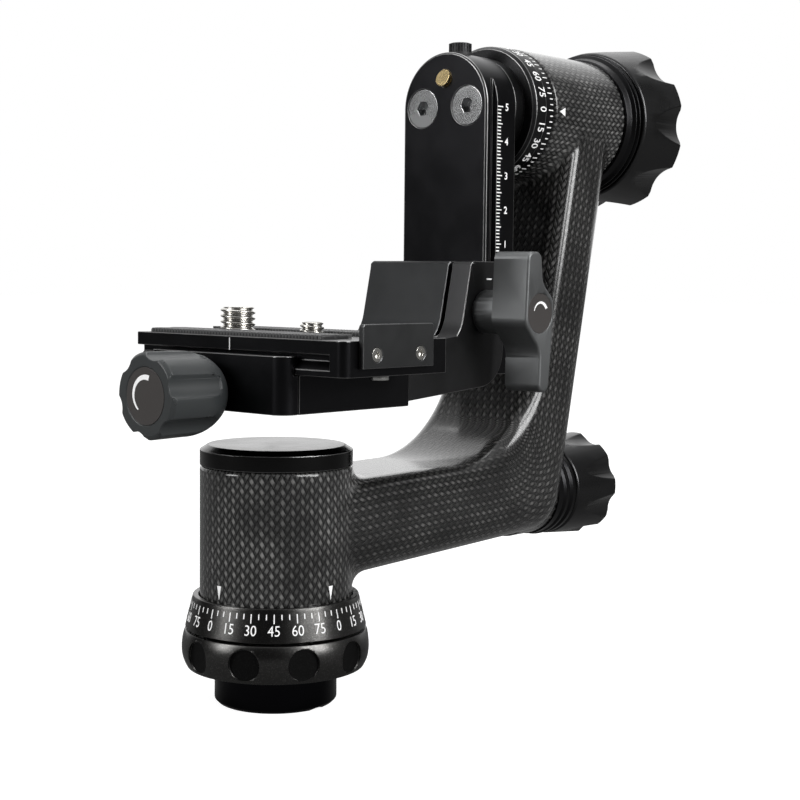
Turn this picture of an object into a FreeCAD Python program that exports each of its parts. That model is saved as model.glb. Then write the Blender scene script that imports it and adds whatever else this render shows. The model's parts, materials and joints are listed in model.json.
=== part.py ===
"""Gimbal tripod head: a pan base, a cantilever frame, a swing arm with a sliding
L-shaped riser, a quick-release clamp and a camera plate.

Millimetres, +Z up. The origin is the centre of the tripod socket's mouth, on the
pan axis. The tilt axis runs along X, the camera plate slides along Y.
"""
import FreeCAD, Part
import math
import os

V = FreeCAD.Vector
X, Y, Z = V(1, 0, 0), V(0, 1, 0), V(0, 0, 1)

# ---- clearances -----------------------------------------------------------
run_gap = 0.05          # radial, shaft in its bore
seat_gap = 0.02         # radial, bonded or pressed pieces of one body
body_gap = 0.3          # between faces of two moving bodies

column_r = 20.5         # the pan column, which the base and the frame follow

# ---- tripod base ----------------------------------------------------------
spigot_r = column_r - 4.0         # bare cylinder that stands on the tripod plate
spigot_h = 9.9
spigot_neck_r = column_r - 2.5    # inside the grip ring
spigot_chamfer = 1.0
socket_r = 4.0          # tapped 3/8"-16 hole, at the thread's crest
bush_r = 8.0
bush_h = 12.0
base_screw_r = 2.0
base_screw_head_r = 3.5
base_screw_head_h = 4.0
base_screw_circle_r = 12.2
base_screw_count = 3
base_screw_sink = 0.4
grip_r = column_r + 4.9           # widest point of the barrel
grip_edge_r = grip_r - 1.6      # at its lower edge
grip_top_r = grip_r - 1.0
grip_h = 10.1
dimple_count = 10
dimple_r = 4.2
dimple_depth = 1.1
dimple_turn = 27.0      # degrees, first dimple from +X
groove_h = 0.7          # dark line between grip ring and dial
dial_low_r = column_r + 3.9
dial_top_r = column_r + 2.0
dial_cone_h = 7.7
dial_lip_w = 0.8
dial_lip_h = 0.9
dial_well_depth = 1.5   # the column stands in this well
column_gap = 0.35       # radial, column in the dial's well
spindle_flange_h = 4.8

# ---- pan column -----------------------------------------------------------
column_top_z = 64.2
column_wall = 2.3
spindle_r = column_r - 9.5
bearing_r = column_r - 4.7
bearing_w = 5.0
liner_bore_r = spindle_r + 1.2
spindle_nut_r = bearing_r - 1.3
spindle_nut_h = 3.2
cap_h = 5.4
cap_chamfer_w = 2.1
cap_chamfer_h = 1.3
cap_plug_r = column_r - 4.5
cap_plug_h = 1.6

# ---- cantilever frame -----------------------------------------------------
arm_half_w = column_r - 1.1       # across Y
arm_inner_edge_r = 6.5  # rounding along the edges on the inside of the bend
arm_outer_edge_r = 11.0
arm_wall = 2.6
arm_low_z = 32.4        # underside of the level arm, at the pan axis
arm_low_rise = 4.0      # how much the underside climbs to the elbow
arm_high_z = 59.4       # top of the level arm, at the pan axis
arm_high_rise = 1.4
elbow_outer_x = 107.0   # where underside and outer face would meet
elbow_outer_r = 13.5
elbow_inner_x = 86.1    # where top and inner face would meet
elbow_inner_r = 38.0
upright_lean = 0.2075   # outward run per unit of height
neck_blend_r = 3.6
housing_r = arm_half_w + 0.6
housing_x0 = 96.4
housing_x1 = 133.6
housing_wall = 2.2
housing_blend_r = 4.0

# ---- pan lock -------------------------------------------------------------
lock_z = 46.8
lock_face_x = 109.6     # seat of the collar on the elbow's boss
lock_boss_r = 13.8
lock_boss_l = 12.0
lock_collar_r = 14.7
lock_collar_w = 8.4
lock_bush_r = 7.0
lock_bush_l = 16.0
lock_screw_r = 4.0
lock_screw_l = 24.0
rod_r = 3.0
shoe_r = 5.0
shoe_l = 4.6
shoe_gap = 0.35         # shoe to spindle with the lock released
lock_travel = 0.3       # inward stroke of the knob as it locks
pan_knob_r = 16.6       # at the outer rim
pan_knob_base_r = 15.0
pan_knob_l = 20.4
pan_knob_scallops = 8

# ---- tilt axis ------------------------------------------------------------
tilt_z = 164.7
shaft_r = 8.0
shaft_flange_r = housing_r - 4.2
shaft_flange_w = 4.3
tilt_bearing_r = housing_r - 4.4
tilt_bearing_w = 6.0
tilt_bearing_inset = 3.0
liner_wall = 2.0
tilt_dial_w = 9.8
tilt_dial_r = housing_r - 0.1
tilt_dial_edge_r = housing_r - 1.2
tilt_tick_band_w = 4.2
tilt_tick_step = 0.25
drag_washer_r = housing_r - 6.0
drag_washer_t = 1.4
collar_w = 5.6
collar_r = housing_r + 2.9
collar_root_r = housing_r + 0.6
shaft_thread_r = 6.0
shaft_thread_l = 14.0
tilt_knob_r = housing_r + 6.4      # at the outer rim
tilt_knob_base_r = housing_r + 3.6
tilt_knob_l = 19.8
tilt_knob_scallops = 8
insert_r = 10.0
insert_l = 12.0

# ---- swing arm ------------------------------------------------------------
swing_x0 = 68.0         # bright front face
swing_t = 14.0
swing_half_w = shaft_flange_r + 0.2
swing_low_z = 86.0
swing_chamfer = 0.5
vee_land = 2.2          # front land before the groove
vee_depth = 2.0
vee_back = 5.0          # front face to the groove's rear edge
vee_floor = 1.0
arm_screw_y = 8.5
arm_screw_r = 3.0
arm_screw_head_r = 5.7
arm_screw_cone_h = 3.3
arm_screw_sink = 0.15
arm_screw_hex_r = 2.3
arm_screw_hex_depth = 2.6
stop_pin_r = 2.5
stop_pin_lift = 8.4     # above the tilt axis
stop_pin_out = 1.6      # proud of the front face, and its stroke
stop_pin_l = 12.6
button_x = 75.0
button_r = 3.4
button_proud = 3.9
button_stem_r = 1.6
button_stroke = 1.6
spring_wall = 0.7
low_stop_r = 2.0
low_stop_lift = 4.0     # above the arm's lower end

# ---- riser (L bracket) ----------------------------------------------------
riser_half_w = 19.5
riser_x0 = 24.4         # seat of the clamp
riser_wall_x = 59.5     # front of the upright wall
riser_back_x = 72.8
riser_low_z = 80.0      # underside at the clamp
riser_low_rise = 3.7    # climb of the underside to the back
riser_back_r = 10.4
riser_leg_z = 94.7      # top of the level leg
riser_top_z = 119.2
riser_fillet_r = 24.0
channel_gap = 0.12
slit_y = -12.5          # jaw side of the slit
slit_w = 1.4
jaw_x0 = 25.2
tongue_x0 = -4.0
tongue_half_w = 10.0
tongue_t = 5.0
tongue_screw_xs = (3.0, 16.0)
tongue_screw_r = 2.5
tongue_screw_head_r = 4.6
tongue_screw_cone_h = 2.5
tongue_screw_l = 10.0
jaw_pin_r = 1.5
jaw_pin_places = ((38.0, 87.5), (63.5, 91.0))

# ---- wing lever -----------------------------------------------------------
lever_x = 64.4
lever_z = 104.7
lever_hub_r = 5.3
lever_hub_l = 7.3
lever_wing_t = 12.2
lever_boss_r = 6.7
lever_up = 17.2
lever_down = 22.4
lever_screw_r = 2.5
lever_screw_l = 36.0
lever_label_r = 5.6
label_t = 0.3

# ---- quick-release clamp --------------------------------------------------
clamp_half_l = 26.0
clamp_x0 = -23.0        # face of the sliding jaw
clamp_jaw_t = 5.4
clamp_top_z = 94.7
clamp_low_z = 80.0
clamp_corner_r = 4.0
floor_gap = 0.15        # plate over the clamp's floor
clamp_screw_z = 84.6
clamp_screw_r = 3.0
clamp_screw_l = 34.0
clamp_screw_reach = 12.0    # into the fixed part of the clamp
guide_y = 18.0
guide_r = 2.0
guide_l = 15.5
guide_rim = 1.4         # from the jaw's outer face to the pin's end
clamp_knob_r = 11.0
clamp_knob_l = 20.7
clamp_knob_base_r = 7.6
clamp_knob_dome_l = 9.5
clamp_knob_flutes = 6
clamp_flute_r = 4.6
clamp_flute_depth = 1.6
clamp_label_r = 7.2

# ---- camera plate ---------------------------------------------------------
plate_half_w = 19.0
plate_y0 = -43.0
plate_y1 = 35.0
plate_low_z = 90.0
plate_top_z = 99.0
plate_slab_t = 3.5
plate_ridge_h = 1.6
plate_vee = 2.2
plate_end_l = 5.0       # plain block at the lens end
plate_corner_r = 5.0
recess_half_w = 8.2
recess_depth = 4.0
recess_y0 = -30.0
recess_y1 = 24.0
large_screw_y = 15.4
large_screw_r = 4.76    # 3/8"-16
large_screw_top_z = 105.9
large_head_r = 7.4
screw_undercut = 0.5    # plain waist in the plate, which keeps the screw captive
small_screw_y = -13.1
small_screw_r = 3.17    # 1/4"-20
small_screw_top_z = 102.5
small_head_r = 6.0
screw_head_h = 2.8
slot_play = 0.25
large_slot = (8.0, 22.0)
small_slot = (-24.0, 0.0)
pad_x0 = 5.9
pad_x1 = 17.3
pad_y0 = -33.0
pad_y1 = 32.5
pad_t = 1.3
pad_bed = 0.5           # depth of the bed that the pad lies in
plate_stop_r = 2.5
plate_stop_h = 1.4
plate_stop_inset = 6.0  # from the lens end
plate_stop_rear_inset = 4.0
plate_stop_shank_r = 1.5
plate_stop_shank_l = 4.0
bracket_x = -0.9
bracket_half_w = 13.1
bracket_t = 1.6
bracket_low_z = 92.1
bracket_top_z = 103.0
bracket_screw_pitch = 16.2
bracket_screw_z = 95.5
bracket_screw_r = 1.0
bracket_screw_head_r = 1.75
bracket_screw_l = 7.0


# ---- building blocks ------------------------------------------------------
def cyl(r, length, base, axis):
    return Part.makeCylinder(r, length, base, axis)


def ring(r_out, r_in, length, base, axis):
    return cyl(r_out, length, base, axis).cut(cyl(r_in, length, base, axis))


def block(x0, x1, y0, y1, z0, z1):
    return Part.makeBox(x1 - x0, y1 - y0, z1 - z0, V(x0, y0, z0))


def turned(points, base, axis):
    """Solid of revolution. points are (radius, height) pairs along axis from base."""
    side = Y if abs(axis.dot(X)) > 0.5 else X
    ring_points = [base + side * r + axis * h for r, h in points]
    face = Part.Face(Part.makePolygon(ring_points + ring_points[:1]))
    return face.revolve(base, axis, 360)


def profile_xz(points, y0, y1):
    """Prism along Y from corner points (x, z)."""
    wire = Part.makePolygon([V(x, y0, z) for x, z in points + points[:1]])
    return Part.Face(wire).extrude(V(0, y1 - y0, 0))


def profile_xy(points, z0, z1):
    """Prism along Z from corner points (x, y)."""
    wire = Part.makePolygon([V(x, y, z0) for x, y in points + points[:1]])
    return Part.Face(wire).extrude(V(0, 0, z1 - z0))


def rounded_profile(corners):
    """Closed wire in the XZ plane. corners are (x, z, radius) with radius 0 for a sharp one."""
    edges = []
    starts = []
    count = len(corners)
    for i, (x, z, r) in enumerate(corners):
        here = V(x, 0, z)
        to_last = (V(corners[i - 1][0], 0, corners[i - 1][1]) - here).normalize()
        nxt = corners[(i + 1) % count]
        to_next = (V(nxt[0], 0, nxt[1]) - here).normalize()
        if r == 0:
            starts.append((here, here))
            continue
        half = to_last.getAngle(to_next) / 2
        run = r / math.tan(half)
        mid_dir = (to_last + to_next).normalize()
        middle = here + mid_dir * (r / math.sin(half) - r)
        begin, end = here + to_last * run, here + to_next * run
        edges.append(Part.Arc(begin, middle, end).toShape())
        starts.append((begin, end))
    for i in range(count):
        leave, arrive = starts[i][1], starts[(i + 1) % count][0]
        if leave.distanceToPoint(arrive) > 1e-6:
            edges.append(Part.makeLine(leave, arrive))
    return Part.Wire(Part.__sortEdges__(edges))


def prism_y(corners, y0, y1):
    solid = Part.Face(rounded_profile(corners)).extrude(V(0, y1 - y0, 0))
    solid.translate(V(0, y0, 0))
    return solid


def edges_along(shape, axis, keep):
    """Straight edges parallel to axis whose middle point passes keep."""
    found = []
    for edge in shape.Edges:
        if edge.Curve.TypeId != "Part::GeomLine":
            continue
        ends = [v.Point for v in edge.Vertexes]
        if len(ends) == 2 and abs((ends[1] - ends[0]).normalize().dot(axis)) > 0.999:
            if keep(edge.CenterOfMass):
                found.append(edge)
    return found


def copies_round(shape, count, base, axis, first=0.0):
    out = []
    for i in range(count):
        piece = shape.copy()
        piece.rotate(base, axis, first + 360.0 * i / count)
        out.append(piece)
    return out


def slot_y(half_w, y0, y1, z0, z1, x=0.0):
    """Round-ended slot along Y."""
    body = block(x - half_w, x + half_w, y0 + half_w, y1 - half_w, z0, z1)
    for y in (y0 + half_w, y1 - half_w):
        body = body.fuse(cyl(half_w, z1 - z0, V(x, y, z0), Z))
    return body


# ---- heights and places worked out from the sizes -------------------------
grip_z0 = spigot_h
grip_z1 = grip_z0 + grip_h
dial_z0 = grip_z1 + groove_h
dial_lip_z = dial_z0 + dial_cone_h + dial_lip_h
dial_floor_z = dial_lip_z - dial_well_depth
column_z0 = dial_floor_z + body_gap
liner_r = column_r - column_wall
spindle_z0 = grip_z1
low_bearing_z = dial_floor_z + body_gap + 1.0
nut_z = column_top_z - cap_plug_h - body_gap - spindle_nut_h
high_bearing_z = nut_z - body_gap - bearing_w
housing_bore_r = housing_r - housing_wall
swing_x1 = swing_x0 + swing_t
tilt_dial_x0 = swing_x1 + shaft_flange_w
tilt_dial_x1 = tilt_dial_x0 + tilt_dial_w
knob_x0 = housing_x1 + collar_w + body_gap
pan_knob_x0 = lock_face_x + lock_collar_w + body_gap + lock_travel
lock_point = V(0, 0, lock_z)
pin_z = tilt_z + stop_pin_lift
arm_top_z = tilt_z + swing_half_w
channel_x = swing_x0 - channel_gap
clamp_jaw_x1 = clamp_x0 + clamp_jaw_t
clamp_body_x0 = clamp_jaw_x1 + body_gap
clamp_knob_x1 = clamp_x0 - 1.3
clamp_screw_x1 = clamp_body_x0 + clamp_screw_reach
lever_hub_y = -riser_half_w - 0.2
lever_wing_y = lever_hub_y - lever_hub_l
lever_face_y = lever_wing_y - lever_wing_t


# ---- tripod base ----------------------------------------------------------
def base_screw_places():
    return [V(base_screw_circle_r * math.cos(a), base_screw_circle_r * math.sin(a), 0)
            for a in (2 * math.pi * i / base_screw_count + math.pi / 6
                      for i in range(base_screw_count))]


def mounting_spigot():
    body = turned([(0, 0), (spigot_r - spigot_chamfer, 0), (spigot_r, spigot_chamfer),
                   (spigot_r, spigot_h), (spigot_neck_r, spigot_h), (spigot_neck_r, grip_z1), (0, grip_z1)],
                  V(0, 0, 0), Z)
    body = body.cut(cyl(bush_r + seat_gap, bush_h + seat_gap, V(0, 0, 0), Z))
    for place in base_screw_places():
        body = body.cut(cyl(base_screw_r + 0.1, grip_z1, place, Z))
        body = body.cut(cyl(base_screw_head_r + 0.2, base_screw_sink + base_screw_head_h, place, Z))
    return body


def thread_bush():
    return ring(bush_r, socket_r, bush_h, V(0, 0, 0), Z)


def base_screws():
    tip = spindle_z0 + spindle_flange_h - 1.0
    out = []
    for place in base_screw_places():
        head_z = base_screw_sink
        head = cyl(base_screw_head_r, base_screw_head_h, place + Z * head_z, Z)
        head = head.cut(hexagon(1.5, 2.0, place + Z * head_z, Z))
        out.append(head.fuse(cyl(base_screw_r, tip - head_z - base_screw_head_h,
                                 place + Z * (head_z + base_screw_head_h), Z)))
    return Part.makeCompound(out)


def hexagon(r, depth, base, axis):
    """Socket of a hexagon key, r to the corners."""
    side = Y if abs(axis.dot(X)) > 0.5 else X
    other = axis.cross(side)
    points = [base + side * (r * math.cos(math.pi * i / 3)) + other * (r * math.sin(math.pi * i / 3))
              for i in range(6)]
    return Part.Face(Part.makePolygon(points + points[:1])).extrude(axis * depth)


def grip_ring():
    inner = spigot_neck_r + seat_gap
    low = V(grip_edge_r, 0, grip_z0)
    wide = V(grip_r, 0, grip_z0 + grip_h * 0.53)
    top = V(grip_top_r, 0, grip_z1)
    edges = [Part.makeLine(V(inner, 0, grip_z0), low),
             Part.Arc(low, wide, top).toShape(),
             Part.makeLine(top, V(inner, 0, grip_z1)),
             Part.makeLine(V(inner, 0, grip_z1), V(inner, 0, grip_z0))]
    body = Part.Face(Part.Wire(edges)).revolve(V(0, 0, 0), Z, 360)
    cutter = cyl(dimple_r, grip_r, V(grip_r - dimple_depth, 0, grip_z0 + grip_h * 0.49), X)
    for tool in copies_round(cutter, dimple_count, V(0, 0, 0), Z, dimple_turn):
        body = body.cut(tool)
    return body


def pan_dial():
    well_r = column_r + column_gap
    flange_r = spigot_neck_r + seat_gap
    top_cone_z = dial_z0 + dial_cone_h
    flange_z = spindle_z0 + spindle_flange_h + seat_gap
    return turned([(flange_r, dial_z0), (dial_low_r, dial_z0), (dial_top_r, top_cone_z),
                   (dial_top_r - dial_lip_w * 0.3, dial_lip_z), (well_r, dial_lip_z),
                   (well_r, dial_floor_z), (spindle_r + 2.0, dial_floor_z),
                   (spindle_r + 2.0, flange_z), (flange_r, flange_z)], V(0, 0, 0), Z)


def pan_spindle():
    flange_z = spindle_z0 + spindle_flange_h
    nut_thread_r = spindle_r - 1.5
    body = turned([(0, spindle_z0), (spigot_neck_r, spindle_z0), (spigot_neck_r, flange_z),
                   (spindle_r, flange_z), (spindle_r, nut_z), (nut_thread_r, nut_z),
                   (nut_thread_r, nut_z + spindle_nut_h), (0, nut_z + spindle_nut_h)], V(0, 0, 0), Z)
    for place in base_screw_places():
        body = body.cut(cyl(base_screw_r + seat_gap, spindle_flange_h - 1.0 + seat_gap,
                            place + Z * spindle_z0, Z))
    return body


def spindle_nut():
    body = ring(spindle_nut_r, spindle_r - 1.5 + seat_gap, spindle_nut_h, V(0, 0, nut_z), Z)
    notch = block(spindle_nut_r - 1.6, spindle_nut_r + 1, -1.5, 1.5, nut_z, nut_z + spindle_nut_h)
    for tool in copies_round(notch, 4, V(0, 0, 0), Z):
        body = body.cut(tool)
    return body


# ---- pan column -----------------------------------------------------------
def pan_bearing(z):
    return ring(bearing_r, spindle_r + run_gap, bearing_w, V(0, 0, z), Z)


def column_liner():
    low_seat = low_bearing_z + bearing_w
    top = column_top_z - cap_plug_h
    pocket = bearing_r + seat_gap
    body = turned([(liner_bore_r, low_seat), (pocket, low_seat), (pocket, column_z0), (liner_r, column_z0),
                   (liner_r, top), (pocket, top), (pocket, high_bearing_z), (liner_bore_r, high_bearing_z)],
                  V(0, 0, 0), Z)
    return body.cut(cyl(shoe_r + run_gap, liner_r, lock_point, X))


def column_cap():
    top = column_top_z + cap_h
    return turned([(0, column_top_z - cap_plug_h), (cap_plug_r, column_top_z - cap_plug_h),
                   (cap_plug_r, column_top_z), (column_r, column_top_z),
                   (column_r, top - cap_chamfer_h), (column_r - cap_chamfer_w, top), (0, top)],
                  V(0, 0, 0), Z)


# ---- cantilever frame -----------------------------------------------------
def outer_x(z):
    return elbow_outer_x + upright_lean * (z - arm_low_z - arm_low_rise)


def inner_x(z):
    return elbow_inner_x + upright_lean * (z - arm_high_z - arm_high_rise)


def bent_arm(inset, top_z):
    """The arm's bent box section, or the room inside its wall."""
    low_slope = arm_low_rise / elbow_outer_x
    high_slope = arm_high_rise / elbow_inner_x
    half = arm_half_w - inset
    start_x = 0 if inset == 0 else column_r + 1.0
    arm = prism_y([(start_x, arm_low_z + low_slope * start_x + inset, 0),
                   (elbow_outer_x - inset, arm_low_z + arm_low_rise + inset, elbow_outer_r - inset),
                   (outer_x(top_z) - inset, top_z, 0), (inner_x(top_z) + inset, top_z, 0),
                   (elbow_inner_x + inset, arm_high_z + arm_high_rise - inset, elbow_inner_r + inset),
                   (start_x, arm_high_z + high_slope * start_x - inset, 0)], -half, half)

    def side_edges(test):
        return [e for e in arm.Edges
                if abs(abs(e.CenterOfMass.y) - half) < 1e-6 and e.CenterOfMass.x > start_x + 1
                and e.CenterOfMass.z < top_z - 1 and test(e.CenterOfMass)]

    def is_inner(c):
        return c.z > (arm_low_z + arm_high_z) / 2 + 0.5 * (c.x - start_x) * 0.3 and c.x < middle_x(c.z)

    arm = arm.makeFillet(max(arm_inner_edge_r - inset, 1.5), side_edges(is_inner))
    return arm.makeFillet(arm_outer_edge_r - inset, side_edges(lambda c: not is_inner(c)))


def middle_x(z):
    return (outer_x(z) + inner_x(z)) / 2


def carbon_frame():
    arm = bent_arm(0, tilt_z)
    column = cyl(column_r, column_top_z - column_z0, V(0, 0, column_z0), Z)
    housing = cyl(housing_r, housing_x1 - housing_x0, V(housing_x0, 0, tilt_z), X)
    boss = cyl(lock_boss_r, lock_boss_l, V(lock_face_x - lock_boss_l, 0, lock_z), X)
    room = cyl(housing_r - 0.5, 90, V(housing_x0 - 30, 0, tilt_z), X)
    arm = arm.cut(room).cut(block(housing_x1, 200, -40, 40, tilt_z - housing_r, tilt_z + 40))
    solid = column.fuse(arm).fuse(housing)
    solid = blend_neck(solid).fuse(boss)
    hollow = bent_arm(arm_wall, tilt_z - housing_r - 1.0)
    solid = solid.cut(hollow.cut(cyl(lock_bush_r + 3.0, 60, V(lock_face_x - lock_bush_l - 4.0, 0, lock_z), X)))
    solid = solid.cut(cyl(liner_r + seat_gap, column_top_z, V(0, 0, 0), Z))
    solid = solid.cut(cyl(housing_bore_r, housing_x1, V(housing_x0 - 1, 0, tilt_z), X))
    solid = solid.cut(cyl(rod_r + 0.3, elbow_outer_x, lock_point, X))
    solid = solid.cut(cyl(lock_collar_r + 0.1, 40, V(lock_face_x, 0, lock_z), X))
    return solid.cut(cyl(lock_bush_r + seat_gap, 60, V(lock_face_x - lock_bush_l, 0, lock_z), X))


def blend_neck(solid):
    """Rounds the inside corner where the arm leaves the column."""
    neck = []
    for edge in solid.Edges:
        points = edge.discretize(5)
        radii = [math.hypot(p.x, p.y) for p in points]
        on_column = max(radii) < column_r + 0.01 and min(radii) > column_r - 0.01
        if on_column and edge.CenterOfMass.x > 3 and column_z0 + 1 < edge.CenterOfMass.z < column_top_z - 1:
            neck.append(edge)
    return solid.makeFillet(neck_blend_r, neck)


def lock_collar():
    w, r = lock_collar_w, lock_collar_r
    return turned([(lock_screw_r + 1.0, 0), (r - 0.5, 0), (r - 0.5, w * 0.3), (r, w * 0.4), (r, w * 0.52),
                   (r - 0.6, w * 0.62), (r - 0.6, w * 0.72), (r, w * 0.82), (r, w),
                   (lock_screw_r + 1.0, w)], V(lock_face_x, 0, lock_z), X)


def lock_bush():
    return ring(lock_bush_r, lock_screw_r + run_gap, lock_bush_l,
                V(lock_face_x - lock_bush_l, 0, lock_z), X)


def push_rod():
    x0 = shoe_x0() + shoe_l
    return cyl(rod_r, rod_end_x() - x0, V(x0, 0, lock_z), X)


def rod_end_x():
    """Just inside the bush, with room for the screw to follow the rod inwards."""
    return lock_face_x - lock_bush_l + lock_travel


def shoe_x0():
    return spindle_r + shoe_gap


def brake_shoe():
    body = cyl(shoe_r, shoe_l + spindle_r, V(shoe_x0() - spindle_r + 1, 0, lock_z), X)
    body = body.cut(block(shoe_x0() + shoe_l, 99, -9, 9, lock_z - 9, lock_z + 9))
    return body.cut(cyl(spindle_r + shoe_gap, 40, V(0, 0, lock_z - 20), Z))


def pan_lock_screw():
    x0 = rod_end_x() + body_gap
    return cyl(lock_screw_r, pan_knob_x0 + pan_knob_l * 0.55 - x0, V(x0, 0, lock_z), X)


def scalloped_knob(x0, length, base_r, r, count, z, bore_r, bore_l, turn):
    """Flared knob on an axis along X, with scallops that deepen towards its outer end."""
    rim, shoulder = 1.4, 0.6
    dish_r, dish = r * 0.66, 0.8
    body = turned([(0, 0), (base_r - shoulder, 0), (base_r, shoulder), (r, length - rim),
                   (r - rim, length), (dish_r, length), (dish_r - 0.6, length - dish),
                   (0, length - dish)], V(x0, 0, z), X)
    cutter_r = r * 0.36
    reach = length * 0.72
    tilt = math.degrees(math.atan2(r * 0.13, reach)) - math.degrees(math.atan2(r - base_r, length))
    cutter = cyl(cutter_r, length * 2, V(-length, 0, 0), X)
    cutter.rotate(V(0, 0, 0), Y, tilt)
    start_r = base_r + (r - base_r) * (length - reach) / length
    cutter.translate(V(x0 + length - reach, 0, z + start_r + cutter_r))
    for tool in copies_round(cutter, count, V(0, 0, z), X, turn):
        body = body.cut(tool)
    return body.cut(cyl(bore_r, bore_l, V(x0, 0, z), X))


def pan_knob():
    return scalloped_knob(pan_knob_x0, pan_knob_l, pan_knob_base_r, pan_knob_r, pan_knob_scallops, lock_z,
                          lock_screw_r + seat_gap, pan_knob_l * 0.55 + seat_gap, 22.5)


# ---- tilt axis ------------------------------------------------------------
def tilt_liner():
    x0 = housing_x0 + drag_washer_t + 0.6
    outer = housing_bore_r - seat_gap
    pocket = tilt_bearing_r + seat_gap
    length = housing_x1 - 0.5 - x0
    seat = tilt_bearing_inset + tilt_bearing_w
    return turned([(shaft_r + 1.5, seat), (pocket, seat), (pocket, 0), (outer, 0), (outer, length),
                   (pocket, length), (pocket, length - seat), (shaft_r + 1.5, length - seat)],
                  V(x0, 0, tilt_z), X)


def tilt_bearing(outer_one):
    x0 = housing_x0 + drag_washer_t + 0.6
    length = housing_x1 - 0.5 - x0
    start = x0 + length - tilt_bearing_inset - tilt_bearing_w if outer_one else x0 + tilt_bearing_inset
    return ring(tilt_bearing_r, shaft_r + run_gap, tilt_bearing_w, V(start, 0, tilt_z), X)


def drag_washer():
    return ring(drag_washer_r, shaft_r + 0.4, drag_washer_t, V(housing_x0 + 0.1, 0, tilt_z), X)


def tilt_shaft():
    x_end = knob_x0 + shaft_thread_l
    body = turned([(0, 0), (shaft_flange_r, 0), (shaft_flange_r, shaft_flange_w),
                   (shaft_r, shaft_flange_w), (shaft_r, housing_x1 - swing_x1),
                   (shaft_thread_r, housing_x1 - swing_x1), (shaft_thread_r, x_end - swing_x1),
                   (0, x_end - swing_x1)], V(swing_x1, 0, tilt_z), X)
    for side in (-1, 1):
        body = body.cut(cyl(arm_screw_r + seat_gap, 9.0, V(swing_x1, side * arm_screw_y, tilt_z), X))
        body = body.cut(cyl(arm_screw_r + 0.6, 5.2, V(swing_x1, side * arm_screw_y, tilt_z), X))
    return body


def tilt_dial():
    w = tilt_dial_w
    band = w - tilt_tick_band_w
    inner = shaft_r + seat_gap
    return turned([(inner, 0), (tilt_dial_edge_r, 0), (tilt_dial_r - 0.2, 1.0), (tilt_dial_r, band - 0.3),
                   (tilt_dial_r - tilt_tick_step, band), (tilt_dial_r - tilt_tick_step, w), (inner, w)],
                  V(tilt_dial_x0, 0, tilt_z), X).cut(screw_room())


def screw_room():
    rooms = [cyl(arm_screw_r + 0.6, 6.0, V(tilt_dial_x0 - 1, side * arm_screw_y, tilt_z), X)
             for side in (-1, 1)]
    return rooms[0].fuse(rooms[1])


def tilt_collar():
    w, r, root = collar_w, collar_r, collar_root_r
    bore = shaft_thread_r + 0.4
    return turned([(bore, 0), (root, 0), (root + 0.6, w * 0.36), (r - 0.5, w * 0.5), (r - 0.5, w * 0.58),
                   (r - 1.0, w * 0.62), (r - 1.0, w * 0.68), (r, w * 0.74), (r, w * 0.84),
                   (r - 0.6, w * 0.9), (r - 0.6, w), (bore, w)], V(housing_x1, 0, tilt_z), X)


def tilt_knob():
    body = scalloped_knob(knob_x0, tilt_knob_l, tilt_knob_base_r, tilt_knob_r, tilt_knob_scallops, tilt_z,
                          insert_r + seat_gap, insert_l + seat_gap, 0.0)
    return body.cut(cyl(shaft_thread_r + 0.4, shaft_thread_l + 1.0, V(knob_x0, 0, tilt_z), X))


def tilt_knob_insert():
    return ring(insert_r, shaft_thread_r + run_gap, insert_l, V(knob_x0, 0, tilt_z), X)


# ---- swing arm ------------------------------------------------------------
def vee_groove(side, z0, z1, grow=0.0):
    """Cutter of the dovetail groove along one edge of the swing arm."""
    w = swing_half_w
    points = [(swing_x0 + vee_land, w), (swing_x0 + vee_land + vee_depth, w - vee_depth),
              (swing_x0 + vee_land + vee_depth + vee_floor, w - vee_depth),
              (swing_x0 + vee_back, w), (swing_x0 + vee_back, w + 3), (swing_x0 + vee_land, w + 3)]
    return profile_xy([(x, side * y) for x, y in points], z0, z1)


def swing_arm():
    w = swing_half_w
    body = block(swing_x0, swing_x1, -w, w, swing_low_z, tilt_z)
    body = body.fuse(cyl(w, swing_t, V(swing_x0, 0, tilt_z), X)).removeSplitter()
    rim = [e for e in body.Edges
           if abs(e.CenterOfMass.x - swing_x0) < 1e-6 or abs(e.CenterOfMass.x - swing_x1) < 1e-6]
    body = body.makeChamfer(swing_chamfer, rim)
    for side in (-1, 1):
        body = body.cut(vee_groove(side, swing_low_z - 1, arm_top_z + 1))
        body = body.cut(countersunk_room(V(swing_x0, side * arm_screw_y, tilt_z)))
    body = body.cut(cyl(stop_pin_r + run_gap, stop_pin_l + stop_pin_out + 0.1 - stop_pin_out,
                        V(swing_x0, 0, pin_z), X))
    body = body.cut(cyl(button_r + run_gap, 20, V(button_x, 0, spring_seat_z()), Z))
    body = body.cut(cyl(button_stem_r + run_gap, 20, V(button_x, 0, pin_z), Z))
    return body.cut(cyl(low_stop_r * 0.6 + seat_gap, 8, V(swing_x0, 0, swing_low_z + low_stop_lift), X))


def countersunk_room(point):
    depth = arm_screw_cone_h + arm_screw_sink
    cone = Part.makeCone(arm_screw_head_r + 0.1, arm_screw_r + 0.1, arm_screw_cone_h,
                         point + X * arm_screw_sink, X)
    mouth = cyl(arm_screw_head_r + 0.1, arm_screw_sink, point, X)
    return mouth.fuse(cone).fuse(cyl(arm_screw_r + 0.1, swing_t, point + X * depth, X))


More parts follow.
